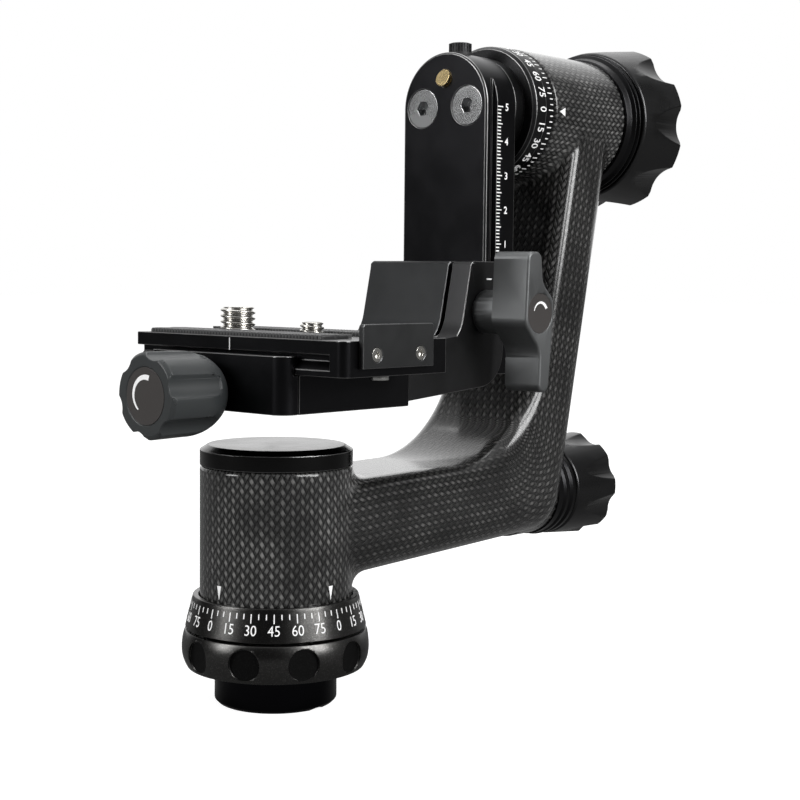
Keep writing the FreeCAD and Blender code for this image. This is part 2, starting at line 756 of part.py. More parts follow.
def arm_screws():
    out = []
    for side in (-1, 1):
        point = V(swing_x0 + arm_screw_sink, side * arm_screw_y, tilt_z)
        cone = Part.makeCone(arm_screw_head_r, arm_screw_r, arm_screw_cone_h, point, X)
        length = swing_t - arm_screw_sink - arm_screw_cone_h + shaft_flange_w - 0.6
        shank = cyl(arm_screw_r, length, point + X * arm_screw_cone_h, X)
        out.append(cone.fuse(shank).cut(hexagon(arm_screw_hex_r, arm_screw_hex_depth, point, X)))
    return Part.makeCompound(out)


def spring_seat_z():
    return pin_z + stop_pin_r + 0.5


def head_low_z():
    """Underside of the button's head, with the spring between it and its seat."""
    return spring_seat_z() + button_stroke + 0.9


def stop_pin():
    x0 = swing_x0 - stop_pin_out
    body = cyl(stop_pin_r, stop_pin_l, V(x0, 0, pin_z), X)
    slant = profile_xz([(x0 - 1, pin_z + stop_pin_r + 1), (x0 - 1, pin_z - 1.5),
                        (x0, pin_z - 1.5), (x0 + stop_pin_out, pin_z + stop_pin_r + 1)], -5, 5)
    low = stem_tip_z() - 1.5 * body_gap
    left = button_x - button_stem_r
    far = button_stroke + 0.2
    top = pin_z + stop_pin_r + 1
    notch = profile_xz([(left - far, top), (left - far, low - far), (left, low),
                        (left + top - low, top)], -5, 5)
    return body.cut(slant).cut(notch)


def stem_tip_z():
    return pin_z + stop_pin_r - 0.5


def stop_button():
    top = arm_top_z + button_proud
    head = turned([(0, head_low_z()), (button_r, head_low_z()), (button_r, top - 0.4),
                   (button_r - 0.4, top), (0, top)], V(button_x, 0, 0), Z)
    stem = cyl(button_stem_r, head_low_z() - stem_tip_z(), V(button_x, 0, stem_tip_z()), Z)
    left = button_x - button_stem_r
    low = stem_tip_z()
    ramp = profile_xz([(left, low), (left + 9, low + 9), (left + 9, low - 1), (left, low - 1)], -5, 5)
    return head.fuse(stem.cut(ramp))


def button_spring():
    """Return spring under the button, at its working length, as a plain sleeve."""
    r0 = button_stem_r + 0.2
    return ring(r0 + spring_wall, r0, head_low_z() - spring_seat_z() - 0.1,
                V(button_x, 0, spring_seat_z() + 0.05), Z)


def low_stop_screw():
    point = V(swing_x0, 0, swing_low_z + low_stop_lift)
    return cyl(low_stop_r, 1.3, point - X * 1.3, X).fuse(cyl(low_stop_r * 0.6, 7.5, point, X))


# ---- riser ----------------------------------------------------------------
def riser_prism(x0, y0, y1):
    run = riser_back_x - riser_x0
    start_z = riser_low_z + riser_low_rise * (x0 - riser_x0) / run
    return prism_y([(x0, start_z, 0),
                    (riser_back_x, riser_low_z + riser_low_rise, riser_back_r),
                    (riser_back_x, riser_top_z, 0),
                    (riser_wall_x, riser_top_z, 1.2),
                    (riser_wall_x, riser_leg_z, riser_fillet_r),
                    (x0, riser_leg_z, 0)], y0, y1)


def arm_channel(side):
    """Room for the swing arm, bounded by the lip that enters its groove on one side."""
    w, g = swing_half_w, channel_gap
    lip_front = swing_x0 + vee_land + g * 0.7
    points = [(channel_x, 0), (channel_x, w + g), (lip_front, w + g),
              (lip_front + vee_depth, w + g - vee_depth),
              (riser_back_x + 1, w + g - vee_depth), (riser_back_x + 1, 0)]
    return profile_xy([(x, side * y) for x, y in points], riser_low_z - 5, riser_top_z + 5)


def riser_body():
    y0 = slit_y + slit_w
    body = riser_prism(riser_x0, y0, riser_half_w)
    body = body.cut(arm_channel(1)).cut(block(channel_x, riser_back_x + 1, y0 - 1, 1, 0, riser_top_z + 5))
    groove_top = swing_low_z + low_stop_lift + low_stop_r + 0.3
    body = body.cut(block(channel_x - 1.6, channel_x + 1, -low_stop_r - 0.3, low_stop_r + 0.3,
                          riser_low_z - 5, groove_top))
    tongue = block(tongue_x0, riser_x0, -tongue_half_w, tongue_half_w,
                   clamp_low_z, clamp_low_z + tongue_t)
    body = body.fuse(tongue).removeSplitter()
    for x in tongue_screw_xs:
        point = V(x, 0, clamp_low_z)
        body = body.cut(Part.makeCone(tongue_screw_head_r + 0.1, tongue_screw_r + 0.1,
                                      tongue_screw_cone_h, point, Z))
        body = body.cut(cyl(tongue_screw_r + 0.1, tongue_t, point, Z))
    for x, z in jaw_pin_places:
        body = body.cut(cyl(jaw_pin_r + seat_gap, 9, V(x, y0, z), Y))
    return body.cut(cyl(lever_screw_r + run_gap, 20, V(lever_x, y0, lever_z), Y))


def riser_jaw():
    body = riser_prism(jaw_x0, -riser_half_w, slit_y)
    body = body.cut(arm_channel(-1))
    for x, z in jaw_pin_places:
        body = body.cut(cyl(jaw_pin_r + run_gap, 5, V(x, slit_y, z), -Y))
    return body.cut(cyl(lever_screw_r + run_gap, 20, V(lever_x, -riser_half_w - 1, lever_z), Y))


def jaw_pins():
    return Part.makeCompound([cyl(jaw_pin_r, 9 + slit_w + 4, V(x, slit_y + slit_w + 9, z), -Y)
                              for x, z in jaw_pin_places])


def clamp_fixing_screws():
    out = []
    for x in tongue_screw_xs:
        point = V(x, 0, clamp_low_z)
        body = Part.makeCone(tongue_screw_head_r, tongue_screw_r, tongue_screw_cone_h, point, Z)
        body = body.fuse(cyl(tongue_screw_r, tongue_screw_l - tongue_screw_cone_h,
                             point + Z * tongue_screw_cone_h, Z))
        out.append(body.cut(hexagon(1.7, 1.8, point, Z)))
    return Part.makeCompound(out)


# ---- wing lever -----------------------------------------------------------
def wing_outline():
    """S-shaped outline: the upper wing leaves one side of the boss, the lower wing the other."""
    x, z, r = lever_x, lever_z, lever_boss_r
    tip = 2.4
    return [(x - r + 0.3, z + 2.0, 0), (x - r + 1.0, z + lever_up, tip), (x + 0.4, z + lever_up, tip),
            (x + 1.4, z + 8.4, 5.0), (x + r, z + 3.6, 4.0), (x + r - 0.3, z - 2.0, 0),
            (x + r - 2.2, z - lever_down, tip), (x - 0.2, z - lever_down, tip),
            (x + 0.2, z - 10.5, 6.0), (x - r, z - 3.0, 4.0)]


def wing_lever():
    wing = prism_y(wing_outline(), lever_face_y, lever_wing_y)
    front = [e for e in wing.Edges if abs(e.CenterOfMass.y - lever_face_y) < 1e-6]
    wing = wing.makeFillet(0.8, front)
    hub = cyl(lever_hub_r, lever_hub_l, V(lever_x, lever_wing_y, lever_z), Y)
    body = wing.fuse(hub)
    body = body.cut(cyl(lever_label_r + 0.1, label_t + 0.1, V(lever_x, lever_face_y, lever_z), Y))
    return body.cut(cyl(lever_screw_r + seat_gap, lever_hub_l + lever_wing_t - 4,
                        V(lever_x, lever_face_y + 4, lever_z), Y))


def lever_screw():
    return cyl(lever_screw_r, lever_screw_l, V(lever_x, lever_face_y + 4, lever_z), Y)


def lever_label():
    return cyl(lever_label_r, label_t, V(lever_x, lever_face_y + 0.1, lever_z), Y)


# ---- quick-release clamp --------------------------------------------------
def plate_room():
    """Dovetail channel that the plate slides in."""
    g = 0.15
    ridge = plate_half_w + g
    neck = ridge - plate_vee
    z1 = plate_low_z + plate_ridge_h + g
    points = [(-ridge, plate_low_z - floor_gap), (ridge, plate_low_z - floor_gap), (ridge, z1),
              (neck, z1 + plate_vee), (neck, clamp_top_z + 1), (-neck, clamp_top_z + 1),
              (-neck, z1 + plate_vee), (-ridge, z1)]
    return profile_xz(points, -clamp_half_l - 1, clamp_half_l + 1)


def clamp_block(x0, x1):
    body = block(x0, x1, -clamp_half_l, clamp_half_l, clamp_low_z, clamp_top_z)
    return body


def clamp_body():
    body = clamp_block(clamp_body_x0, riser_x0)
    corners = edges_along(body, Z, lambda c: c.x > 0)
    body = body.makeFillet(1.0, corners)
    body = body.cut(plate_room())
    body = body.cut(block(clamp_body_x0 - 1, 0, -clamp_half_l - 1, clamp_half_l + 1,
                          plate_low_z - floor_gap, clamp_top_z + 1))
    g = seat_gap
    body = body.cut(block(tongue_x0 - g, riser_x0 + 1, -tongue_half_w - g, tongue_half_w + g,
                          clamp_low_z - 1, clamp_low_z + tongue_t + g))
    for x in tongue_screw_xs:
        body = body.cut(cyl(tongue_screw_r + seat_gap, tongue_screw_l - tongue_t + g,
                            V(x, 0, clamp_low_z + tongue_t), Z))
    for side in (-1, 1):
        body = body.cut(cyl(guide_r + seat_gap, guide_l, V(clamp_x0 + guide_rim, side * guide_y, clamp_screw_z), X))
    return body.cut(cyl(clamp_screw_r + run_gap, clamp_screw_reach + 0.5, V(clamp_body_x0, 0, clamp_screw_z), X))


def clamp_jaw():
    body = clamp_block(clamp_x0, clamp_jaw_x1)
    corners = edges_along(body, Z, lambda c: c.x < clamp_x0 + 0.01)
    body = body.makeFillet(clamp_corner_r, corners)
    lip = block(clamp_jaw_x1 - 0.01, -plate_half_w + plate_vee, -clamp_half_l + 1, clamp_half_l - 1,
                plate_low_z + plate_ridge_h, clamp_top_z)
    body = body.fuse(lip).cut(plate_room())
    for side in (-1, 1):
        body = body.cut(cyl(guide_r + run_gap, guide_l, V(clamp_x0 + guide_rim - 0.2, side * guide_y, clamp_screw_z), X))
    return body.cut(cyl(clamp_screw_r + run_gap, 14, V(clamp_x0 - 1, 0, clamp_screw_z), X))


def guide_pins():
    return Part.makeCompound([cyl(guide_r, guide_l, V(clamp_x0 + guide_rim, side * guide_y, clamp_screw_z), X)
                              for side in (-1, 1)])


def clamp_screw():
    return cyl(clamp_screw_r, clamp_screw_l, V(clamp_screw_x1 - clamp_screw_l, 0, clamp_screw_z), X)


def clamp_knob():
    face_x = clamp_knob_x1 - clamp_knob_l
    base = V(clamp_knob_x1, 0, clamp_screw_z)
    r, dome = clamp_knob_r, clamp_knob_dome_l
    start = base + Y * clamp_knob_base_r
    mid = base - X * (dome * 0.38) + Y * (r - 1.2)
    full = base - X * dome + Y * (r - 0.15)
    edges = [Part.makeLine(base, start), Part.Arc(start, mid, full).toShape()]
    corners = [full, V(face_x + 1.0, r, clamp_screw_z), V(face_x, r - 0.9, clamp_screw_z),
               V(face_x, clamp_label_r + 0.15, clamp_screw_z),
               V(face_x + label_t + 0.1, clamp_label_r + 0.15, clamp_screw_z),
               V(face_x + label_t + 0.1, 0, clamp_screw_z), base]
    edges += [Part.makeLine(a, b) for a, b in zip(corners, corners[1:])]
    body = Part.Face(Part.Wire(edges)).revolve(base, X, 360)
    offset = r - clamp_flute_depth + clamp_flute_r
    cutter = cyl(clamp_flute_r, clamp_knob_l - 3.0, V(face_x - 1, 0, clamp_screw_z + offset), X)
    for tool in copies_round(cutter, clamp_knob_flutes, base, X, 15.0):
        body = body.cut(tool)
    return body.cut(cyl(clamp_screw_r + seat_gap, clamp_screw_depth(), base - X * clamp_screw_depth(), X))


def clamp_screw_depth():
    return clamp_knob_x1 - (clamp_screw_x1 - clamp_screw_l)


def clamp_label():
    face_x = clamp_knob_x1 - clamp_knob_l
    return cyl(clamp_label_r, label_t, V(face_x + 0.1, 0, clamp_screw_z), X)


# ---- camera plate ---------------------------------------------------------
def camera_plate():
    w, slab = plate_half_w, plate_top_z - plate_slab_t
    neck = w - plate_vee
    ridge_z = plate_low_z + plate_ridge_h
    points = [(-w, plate_low_z), (w, plate_low_z), (w, ridge_z), (neck, ridge_z + plate_vee), (neck, slab),
              (w, slab), (w, plate_top_z), (-w, plate_top_z), (-w, slab), (-neck, slab),
              (-neck, ridge_z + plate_vee), (-w, ridge_z)]
    body = profile_xz(points, plate_y0 + plate_end_l, plate_y1)
    end = block(-w, w, plate_y0, plate_y0 + plate_end_l, plate_low_z, plate_top_z)
    end = end.makeFillet(plate_corner_r * 0.5, edges_along(end, Z, lambda c: c.y < plate_y0 + 0.01 and c.x < 0))
    body = body.fuse(end).removeSplitter()
    ceiling = plate_low_z + recess_depth
    body = body.cut(slot_y(recess_half_w, recess_y0, recess_y1, plate_low_z - 1, ceiling))
    body = body.cut(slot_y(large_screw_r + slot_play, large_slot[0], large_slot[1], ceiling - 1, plate_top_z + 1))
    body = body.cut(slot_y(small_screw_r + slot_play, small_slot[0], small_slot[1], ceiling - 1, plate_top_z + 1))
    for side in (-1, 1):
        x0, x1 = sorted((side * (pad_x0 - seat_gap), side * (pad_x1 + seat_gap)))
        body = body.cut(block(x0, x1, pad_y0 - seat_gap, pad_y1 + seat_gap, plate_top_z - pad_bed, plate_top_z + 1))
    for y in plate_stop_ys():
        body = body.cut(cyl(plate_stop_shank_r + seat_gap, plate_stop_shank_l, V(0, y, plate_low_z), Z))
    for x in bracket_screw_xs():
        body = body.cut(cyl(bracket_screw_r + seat_gap, bracket_screw_l, V(x, plate_y0, bracket_screw_z), Y))
    return body


def plate_stop_ys():
    return (plate_y0 + plate_stop_inset, plate_y1 - plate_stop_rear_inset)


def bracket_screw_xs():
    return (bracket_x - bracket_screw_pitch / 2, bracket_x + bracket_screw_pitch / 2)


def plate_pad(side):
    x0, x1 = sorted((side * pad_x0, side * pad_x1))
    body = block(x0, x1, pad_y0, pad_y1, plate_top_z - pad_bed, plate_top_z - pad_bed + pad_t)
    return body.makeFillet(2.0, edges_along(body, Z, lambda c: True))


def camera_screw(y, r, top_z, head_r):
    ceiling = plate_low_z + recess_depth
    head = cyl(head_r, screw_head_h, V(0, y, ceiling - screw_head_h), Z)
    slot = block(-1.0, 1.0, y - head_r, y + head_r, ceiling - screw_head_h, ceiling - screw_head_h + 1.2)
    waist, crest_z = r - screw_undercut, plate_top_z - pad_bed + pad_t + 0.1
    shank = turned([(0, ceiling), (waist, ceiling), (waist, crest_z), (r, crest_z), (r, top_z - 0.5),
                    (r - 0.5, top_z), (0, top_z)], V(0, y, 0), Z)
    return head.cut(slot).fuse(shank)


def plate_stops():
    out = []
    for y in plate_stop_ys():
        head = cyl(plate_stop_r, plate_stop_h, V(0, y, plate_low_z - plate_stop_h), Z)
        out.append(head.fuse(cyl(plate_stop_shank_r, plate_stop_shank_l - 0.2, V(0, y, plate_low_z), Z)))
    return Part.makeCompound(out)


def stop_bracket():
    body = block(bracket_x - bracket_half_w, bracket_x + bracket_half_w, plate_y0 - bracket_t, plate_y0,
                 bracket_low_z, bracket_top_z)
    body = body.makeFillet(0.8, edges_along(body, Y, lambda c: c.z > bracket_top_z - 0.01))
    for x in bracket_screw_xs():
        point = V(x, plate_y0 - bracket_t, bracket_screw_z)
        body = body.cut(cyl(bracket_screw_head_r + 0.1, bracket_t * 0.6, point, Y))
        body = body.cut(cyl(bracket_screw_r + 0.1, bracket_t, point, Y))
    return body


def bracket_screws():
    out = []
    for x in bracket_screw_xs():
        point = V(x, plate_y0 - bracket_t, bracket_screw_z)
        head = cyl(bracket_screw_head_r, bracket_t * 0.6, point, Y)
        shank_l = bracket_t * 0.4 + bracket_screw_l - 0.2
        shank = cyl(bracket_screw_r, shank_l, point + Y * (bracket_t * 0.6), Y)
        out.append(head.cut(hexagon(0.9, 0.7, point, Y)).fuse(shank))
    return Part.makeCompound(out)


# ---- every node and the function that makes it ------------------------------
nodes = {
    "mounting_spigot": mounting_spigot,
    "thread_bush": thread_bush,
    "base_screws": base_screws,
    "grip_ring": grip_ring,
    "pan_dial": pan_dial,
    "pan_spindle": pan_spindle,
    "spindle_nut": spindle_nut,
    "pan_bearing_low": lambda: pan_bearing(low_bearing_z),
    "pan_bearing_high": lambda: pan_bearing(high_bearing_z),
    "column_liner": column_liner,
    "column_cap": column_cap,
    "carbon_frame": carbon_frame,
    "lock_collar": lock_collar,
    "lock_bush": lock_bush,
    "push_rod": push_rod,
    "brake_shoe": brake_shoe,
    "pan_lock_screw": pan_lock_screw,
    "pan_knob": pan_knob,
    "tilt_liner": tilt_liner,
    "tilt_bearing_inner": lambda: tilt_bearing(False),
    "tilt_bearing_outer": lambda: tilt_bearing(True),
    "drag_washer": drag_washer,
    "tilt_shaft": tilt_shaft,
    "tilt_dial": tilt_dial,
    "tilt_collar": tilt_collar,
    "tilt_knob": tilt_knob,
    "tilt_knob_insert": tilt_knob_insert,
    "swing_arm": swing_arm,
    "arm_screws": arm_screws,
    "stop_pin": stop_pin,
    "stop_button": stop_button,
    "button_spring": button_spring,
    "low_stop_screw": low_stop_screw,
    "riser_body": riser_body,
    "riser_jaw": riser_jaw,
    "jaw_pins": jaw_pins,
    "wing_lever": wing_lever,
    "lever_screw": lever_screw,
    "lever_label": lever_label,
    "clamp_body": clamp_body,
    "clamp_jaw": clamp_jaw,
    "guide_pins": guide_pins,
    "clamp_fixing_screws": clamp_fixing_screws,
    "clamp_screw": clamp_screw,
    "clamp_knob": clamp_knob,
    "clamp_label": clamp_label,
    "camera_plate": camera_plate,
    "plate_pad_front": lambda: plate_pad(-1),
    "plate_pad_rear": lambda: plate_pad(1),
    "camera_screw_large": lambda: camera_screw(large_screw_y, large_screw_r, large_screw_top_z, large_head_r),
    "camera_screw_small": lambda: camera_screw(small_screw_y, small_screw_r, small_screw_top_z, small_head_r),
    "plate_stops": plate_stops,
    "stop_bracket": stop_bracket,
    "bracket_screws": bracket_screws,
}

os.makedirs("parts", exist_ok=True)
for name, make in nodes.items():
    shape = make()
    shape.exportStep("parts/%s.step" % name)
    good = shape.isValid() and all(s.isClosed() for s in shape.Shells)
    print("%-20s %s solids %d faces %d volume %.0f" % (name, "ok" if good else "BAD",
                                                      len(shape.Solids), len(shape.Faces), shape.Volume))
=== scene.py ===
import json
import math

import bmesh
import bpy
import numpy as np
from mathutils import Matrix, Vector

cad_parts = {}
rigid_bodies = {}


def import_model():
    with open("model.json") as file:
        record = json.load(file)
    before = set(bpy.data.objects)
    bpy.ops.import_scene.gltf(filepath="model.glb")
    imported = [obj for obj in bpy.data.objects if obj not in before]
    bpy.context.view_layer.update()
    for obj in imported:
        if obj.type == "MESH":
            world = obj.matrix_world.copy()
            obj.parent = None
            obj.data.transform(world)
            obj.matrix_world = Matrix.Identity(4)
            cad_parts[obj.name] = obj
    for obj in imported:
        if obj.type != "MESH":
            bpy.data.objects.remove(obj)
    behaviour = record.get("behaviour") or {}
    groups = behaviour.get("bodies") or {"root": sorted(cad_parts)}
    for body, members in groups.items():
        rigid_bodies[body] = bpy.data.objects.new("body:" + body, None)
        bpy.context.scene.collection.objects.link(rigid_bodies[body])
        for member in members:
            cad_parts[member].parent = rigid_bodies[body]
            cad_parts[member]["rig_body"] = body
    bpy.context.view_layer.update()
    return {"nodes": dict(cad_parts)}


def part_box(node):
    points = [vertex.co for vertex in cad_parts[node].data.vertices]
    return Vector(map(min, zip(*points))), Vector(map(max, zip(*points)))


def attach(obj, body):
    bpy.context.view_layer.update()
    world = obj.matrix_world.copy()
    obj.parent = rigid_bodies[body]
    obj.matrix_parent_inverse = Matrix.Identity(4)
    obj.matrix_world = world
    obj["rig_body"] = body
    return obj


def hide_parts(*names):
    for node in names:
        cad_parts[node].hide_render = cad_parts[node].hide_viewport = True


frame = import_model()
cad = frame["nodes"]
bodyOf = {name: obj["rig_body"] for name, obj in cad.items()}
mm = 0.001
print("frame loaded:", len(cad), "nodes")


# node tree helpers

def feed(tree, socket, value):
    if isinstance(value, bpy.types.NodeSocket):
        tree.links.new(value, socket)
    else:
        socket.default_value = value


def addNode(tree, kind, inputs=None, **settings):
    node = tree.nodes.new(kind)
    for key, value in settings.items():
        setattr(node, key, value)
    for key, value in (inputs or {}).items():
        feed(tree, node.inputs[key], value)
    return node


def calc(tree, operation, *values):
    node = tree.nodes.new("ShaderNodeMath")
    node.operation = operation
    for k, value in enumerate(values):
        feed(tree, node.inputs[k], value)
    return node.outputs[0]


def plus(tree, a, b):
    return calc(tree, "ADD", a, b)


def minus(tree, a, b):
    return calc(tree, "SUBTRACT", a, b)


def times(tree, a, b):
    return calc(tree, "MULTIPLY", a, b)


def isMultiple(tree, value, step):
    return calc(tree, "LESS_THAN", calc(tree, "FLOORED_MODULO", value, step), 0.5)


def ramp(tree, value, low, high, outLow=0.0, outHigh=1.0):
    inputs = {"Value": value, "From Min": low, "From Max": high, "To Min": outLow, "To Max": outHigh}
    return addNode(tree, "ShaderNodeMapRange", inputs, clamp=True, interpolation_type="SMOOTHSTEP").outputs["Result"]


firstInput = {"FLOAT": 2, "VECTOR": 4, "RGBA": 6}  # where a Mix node's pair of inputs starts


def mix(tree, factor, a, b, kind="FLOAT", blend="MIX"):
    first = firstInput[kind]
    node = addNode(tree, "ShaderNodeMix", data_type=kind, blend_type=blend)
    for socket, value in (("Factor", factor), (first, a), (first + 1, b)):
        feed(tree, node.inputs[socket], value)
    return node.outputs[first // 2 - 1]


def joinXYZ(tree, x, y, z):
    return addNode(tree, "ShaderNodeCombineXYZ", {0: x, 1: y, 2: z}).outputs[0]


def splitXYZ(tree, vector):
    return addNode(tree, "ShaderNodeSeparateXYZ", {0: vector}).outputs


def addVectors(tree, a, b):
    return addNode(tree, "ShaderNodeVectorMath", {0: a, 1: b}, operation="ADD").outputs[0]


def scaleVector(tree, vector, factor):
    return addNode(tree, "ShaderNodeVectorMath", {0: vector, "Scale": factor}, operation="SCALE").outputs[0]


def greyOf(tree, value):
    return addNode(tree, "ShaderNodeCombineColor", {0: value, 1: value, 2: value}).outputs[0]


def noise(tree, where, scale, detail, **others):
    return addNode(tree, "ShaderNodeTexNoise", {"Vector": where, "Scale": scale, "Detail": detail, **others})


def addBump(tree, shader, height, strength, distance):
    bump = addNode(tree, "ShaderNodeBump", {"Height": height, "Strength": strength, "Distance": distance})
    feed(tree, shader.inputs["Normal"], bump.outputs[0])


def newGroup(name, inputs, outputs, kindOfTree="ShaderNodeTree"):
    group = bpy.data.node_groups.new(name, kindOfTree)
    for label, kind, default in inputs:
        socket = group.interface.new_socket(label, in_out="INPUT", socket_type="NodeSocket" + kind)
        if default is not None:
            socket.default_value = default
    for label, kind in outputs:
        group.interface.new_socket(label, in_out="OUTPUT", socket_type="NodeSocket" + kind)
    return group, group.nodes.new("NodeGroupInput").outputs, group.nodes.new("NodeGroupOutput").inputs


def useGroup(tree, group, inputs):
    return addNode(tree, "ShaderNodeGroup", inputs, node_tree=group).outputs


# shared effects

blastGrain = {"sparkFrom": 0.72, "sparkTo": 1.0}
smudges = {"detail": 4.0, "roughness": 0.6, "from": 0.35, "to": 0.7}
twill = {
    "edge": (0.50, 0.30),           # from a tow's edge to its full height
    "tip": (0.50, 0.36),            # the same at its ends
    "paintedHighlightA": (0.375, -0.25), "paintedHighlightB": (0.875, 0.25),    # where each direction's painted highlights, pale diamonds on the floats, lie in the repeat
    "paintedHighlightWidth": 0.40, "paintedHighlightLength": 0.42, "paintedHighlightEdge": (1.0, 0.35),
    "crownAlong": 0.25, "crownAcross": 0.35,
    "fibresAcross": 14.0, "fibresAlong": 0.6,
    "dull": 0.40, "paintedHighlightGain": 1.15, "fibreGain": 2.4, "fibreHeight": 0.12,
}


def buildBlastGroup():
    tree, given, out = newGroup(
        "blastedGrain",
        [("Vector", "Vector", (0, 0, 0)), ("Grain", "Float", 3200.0),
         ("Base", "Color", (0.02, 0.02, 0.02, 1)), ("Spark", "Color", (0.12, 0.12, 0.12, 1)),
         ("Amount", "Float", 0.3)],
        [("Color", "Color"), ("Height", "Float")],
    )
    fine = noise(tree, given["Vector"], given["Grain"], 1.0)
    cells = addNode(tree, "ShaderNodeTexVoronoi", {"Vector": given["Vector"], "Scale": given["Grain"]})
    share = addNode(tree, "ShaderNodeSeparateColor", {"Color": cells.outputs["Color"]}).outputs[0]
    spark = times(tree, ramp(tree, share, blastGrain["sparkFrom"], blastGrain["sparkTo"]), given["Amount"])
    feed(tree, out["Color"], mix(tree, spark, given["Base"], given["Spark"], "RGBA"))
    feed(tree, out["Height"], fine.outputs[0])
    return tree


def fromMiddle(tree, value):
    return calc(tree, "ABSOLUTE", minus(tree, calc(tree, "FRACT", value), 0.5))


# a pale diamond painted on each float where it would catch the light: a painted highlight
def floatSpot(tree, u, v, place):
    across = fromMiddle(tree, plus(tree, u, 8.5 - place[0]))
    along = fromMiddle(tree, plus(tree, v, 8.5 - place[1]))
    across = calc(tree, "DIVIDE", across, twill["paintedHighlightWidth"])
    along = calc(tree, "DIVIDE", along, twill["paintedHighlightLength"])
    return ramp(tree, plus(tree, across, along), *twill["paintedHighlightEdge"])


def rounded(tree, offset, drop):
    return minus(tree, 1.0, times(tree, calc(tree, "POWER", times(tree, offset, 2.0), 2.0), drop))


def buildTwillGroup():
    tree, given, out = newGroup(
        "twillWeave",
        [("Pattern", "Vector", (0, 0, 0)), ("Along Lit", "Color", (0.05, 0.05, 0.05, 1)),
         ("Across Shaded", "Color", (0.03, 0.03, 0.03, 1)), ("Gap", "Color", (0.008, 0.008, 0.008, 1)),
         ("Fibre", "Float", 0.35)],
        [("Color", "Color"), ("Height", "Float")],
    )
    look = twill
    u, v, _ = splitXYZ(tree, given["Pattern"])
    twice = times(tree, u, 2.0)
    a, b = plus(tree, twice, v), minus(tree, twice, v)
    i, j = calc(tree, "FLOOR", a), calc(tree, "FLOOR", b)
    # two tows over, two under: which direction lies on top, and how far along its float
    onTop = calc(tree, "LESS_THAN", calc(tree, "FLOORED_MODULO", plus(tree, i, j), 4.0), 2.0)
    runA = times(tree, calc(tree, "FLOORED_MODULO", plus(tree, i, b), 4.0), 0.5)
    runB = minus(tree, times(tree, calc(tree, "FLOORED_MODULO", plus(tree, a, j), 4.0), 0.5), 1.0)
    cross = mix(tree, onTop, fromMiddle(tree, b), fromMiddle(tree, a))
    run = calc(tree, "ABSOLUTE", minus(tree, mix(tree, onTop, runB, runA), 0.5))
    height = times(tree, ramp(tree, cross, *look["edge"]), ramp(tree, run, *look["tip"]))
    # the crown rounds each float's relief (real bump) and, through the colour below, paints its middle lighter than its
    # ends: partly relief, partly painted highlight
    crownAndHighlight = times(tree, rounded(tree, run, look["crownAlong"]), rounded(tree, cross, look["crownAcross"]))
    relief = times(tree, height, crownAndHighlight)
    # painted highlight: which direction's pale diamonds show depends on which tow lies on top
    paintedHighlight = mix(tree, onTop, floatSpot(tree, u, v, look["paintedHighlightB"]), floatSpot(tree, u, v, look["paintedHighlightA"]))
    # fine lines of fibre run along each tow
    lineA = joinXYZ(tree, times(tree, a, look["fibresAcross"]), times(tree, b, look["fibresAlong"]), 0.0)
    lineB = joinXYZ(tree, times(tree, b, look["fibresAcross"]), times(tree, a, look["fibresAlong"]), 7.0)
    fibre = noise(tree, mix(tree, onTop, lineB, lineA, "VECTOR"), 1.0, 1.0)
    streak = times(tree, minus(tree, fibre.outputs[0], 0.5), given["Fibre"])
    # tows lying along are painted lighter than tows lying across: a painted sheen standing for the light's direction
    tow = mix(tree, onTop, given["Across Shaded"], given["Along Lit"], "RGBA")
    # darker in the gaps between tows, and lighter on the crowned middles of the floats as a painted highlight
    shade = mix(tree, relief, given["Gap"], tow, "RGBA")
    # the painted highlights and the fibre lines lighten the colour together; dull is the level away from them
    shine = plus(tree, times(tree, paintedHighlight, look["paintedHighlightGain"]), times(tree, streak, look["fibreGain"]))
    highlightAndFibreGain = greyOf(tree, plus(tree, look["dull"], shine))
    feed(tree, out["Color"], mix(tree, 1.0, shade, highlightAndFibreGain, "RGBA", "MULTIPLY"))
    feed(tree, out["Height"], plus(tree, relief, times(tree, streak, look["fibreHeight"])))
    return tree


def buildSmudgeGroup():
    tree, given, out = newGroup(
        "handlingSmudge",
        [("Vector", "Vector", (0, 0, 0)), ("Scale", "Float", 60.0),
         ("Clean", "Float", 0.3), ("Worn", "Float", 0.4)],
        [("Value", "Float")],
    )
    cloud = noise(tree, given["Vector"], given["Scale"], smudges["detail"], Roughness=smudges["roughness"])
    mask = ramp(tree, cloud.outputs[0], smudges["from"], smudges["to"])
    feed(tree, out["Value"], mix(tree, mask, given["Clean"], given["Worn"]))
    return tree


blastGroup = buildBlastGroup()
twillGroup = buildTwillGroup()
smudgeGroup = buildSmudgeGroup()


# materials

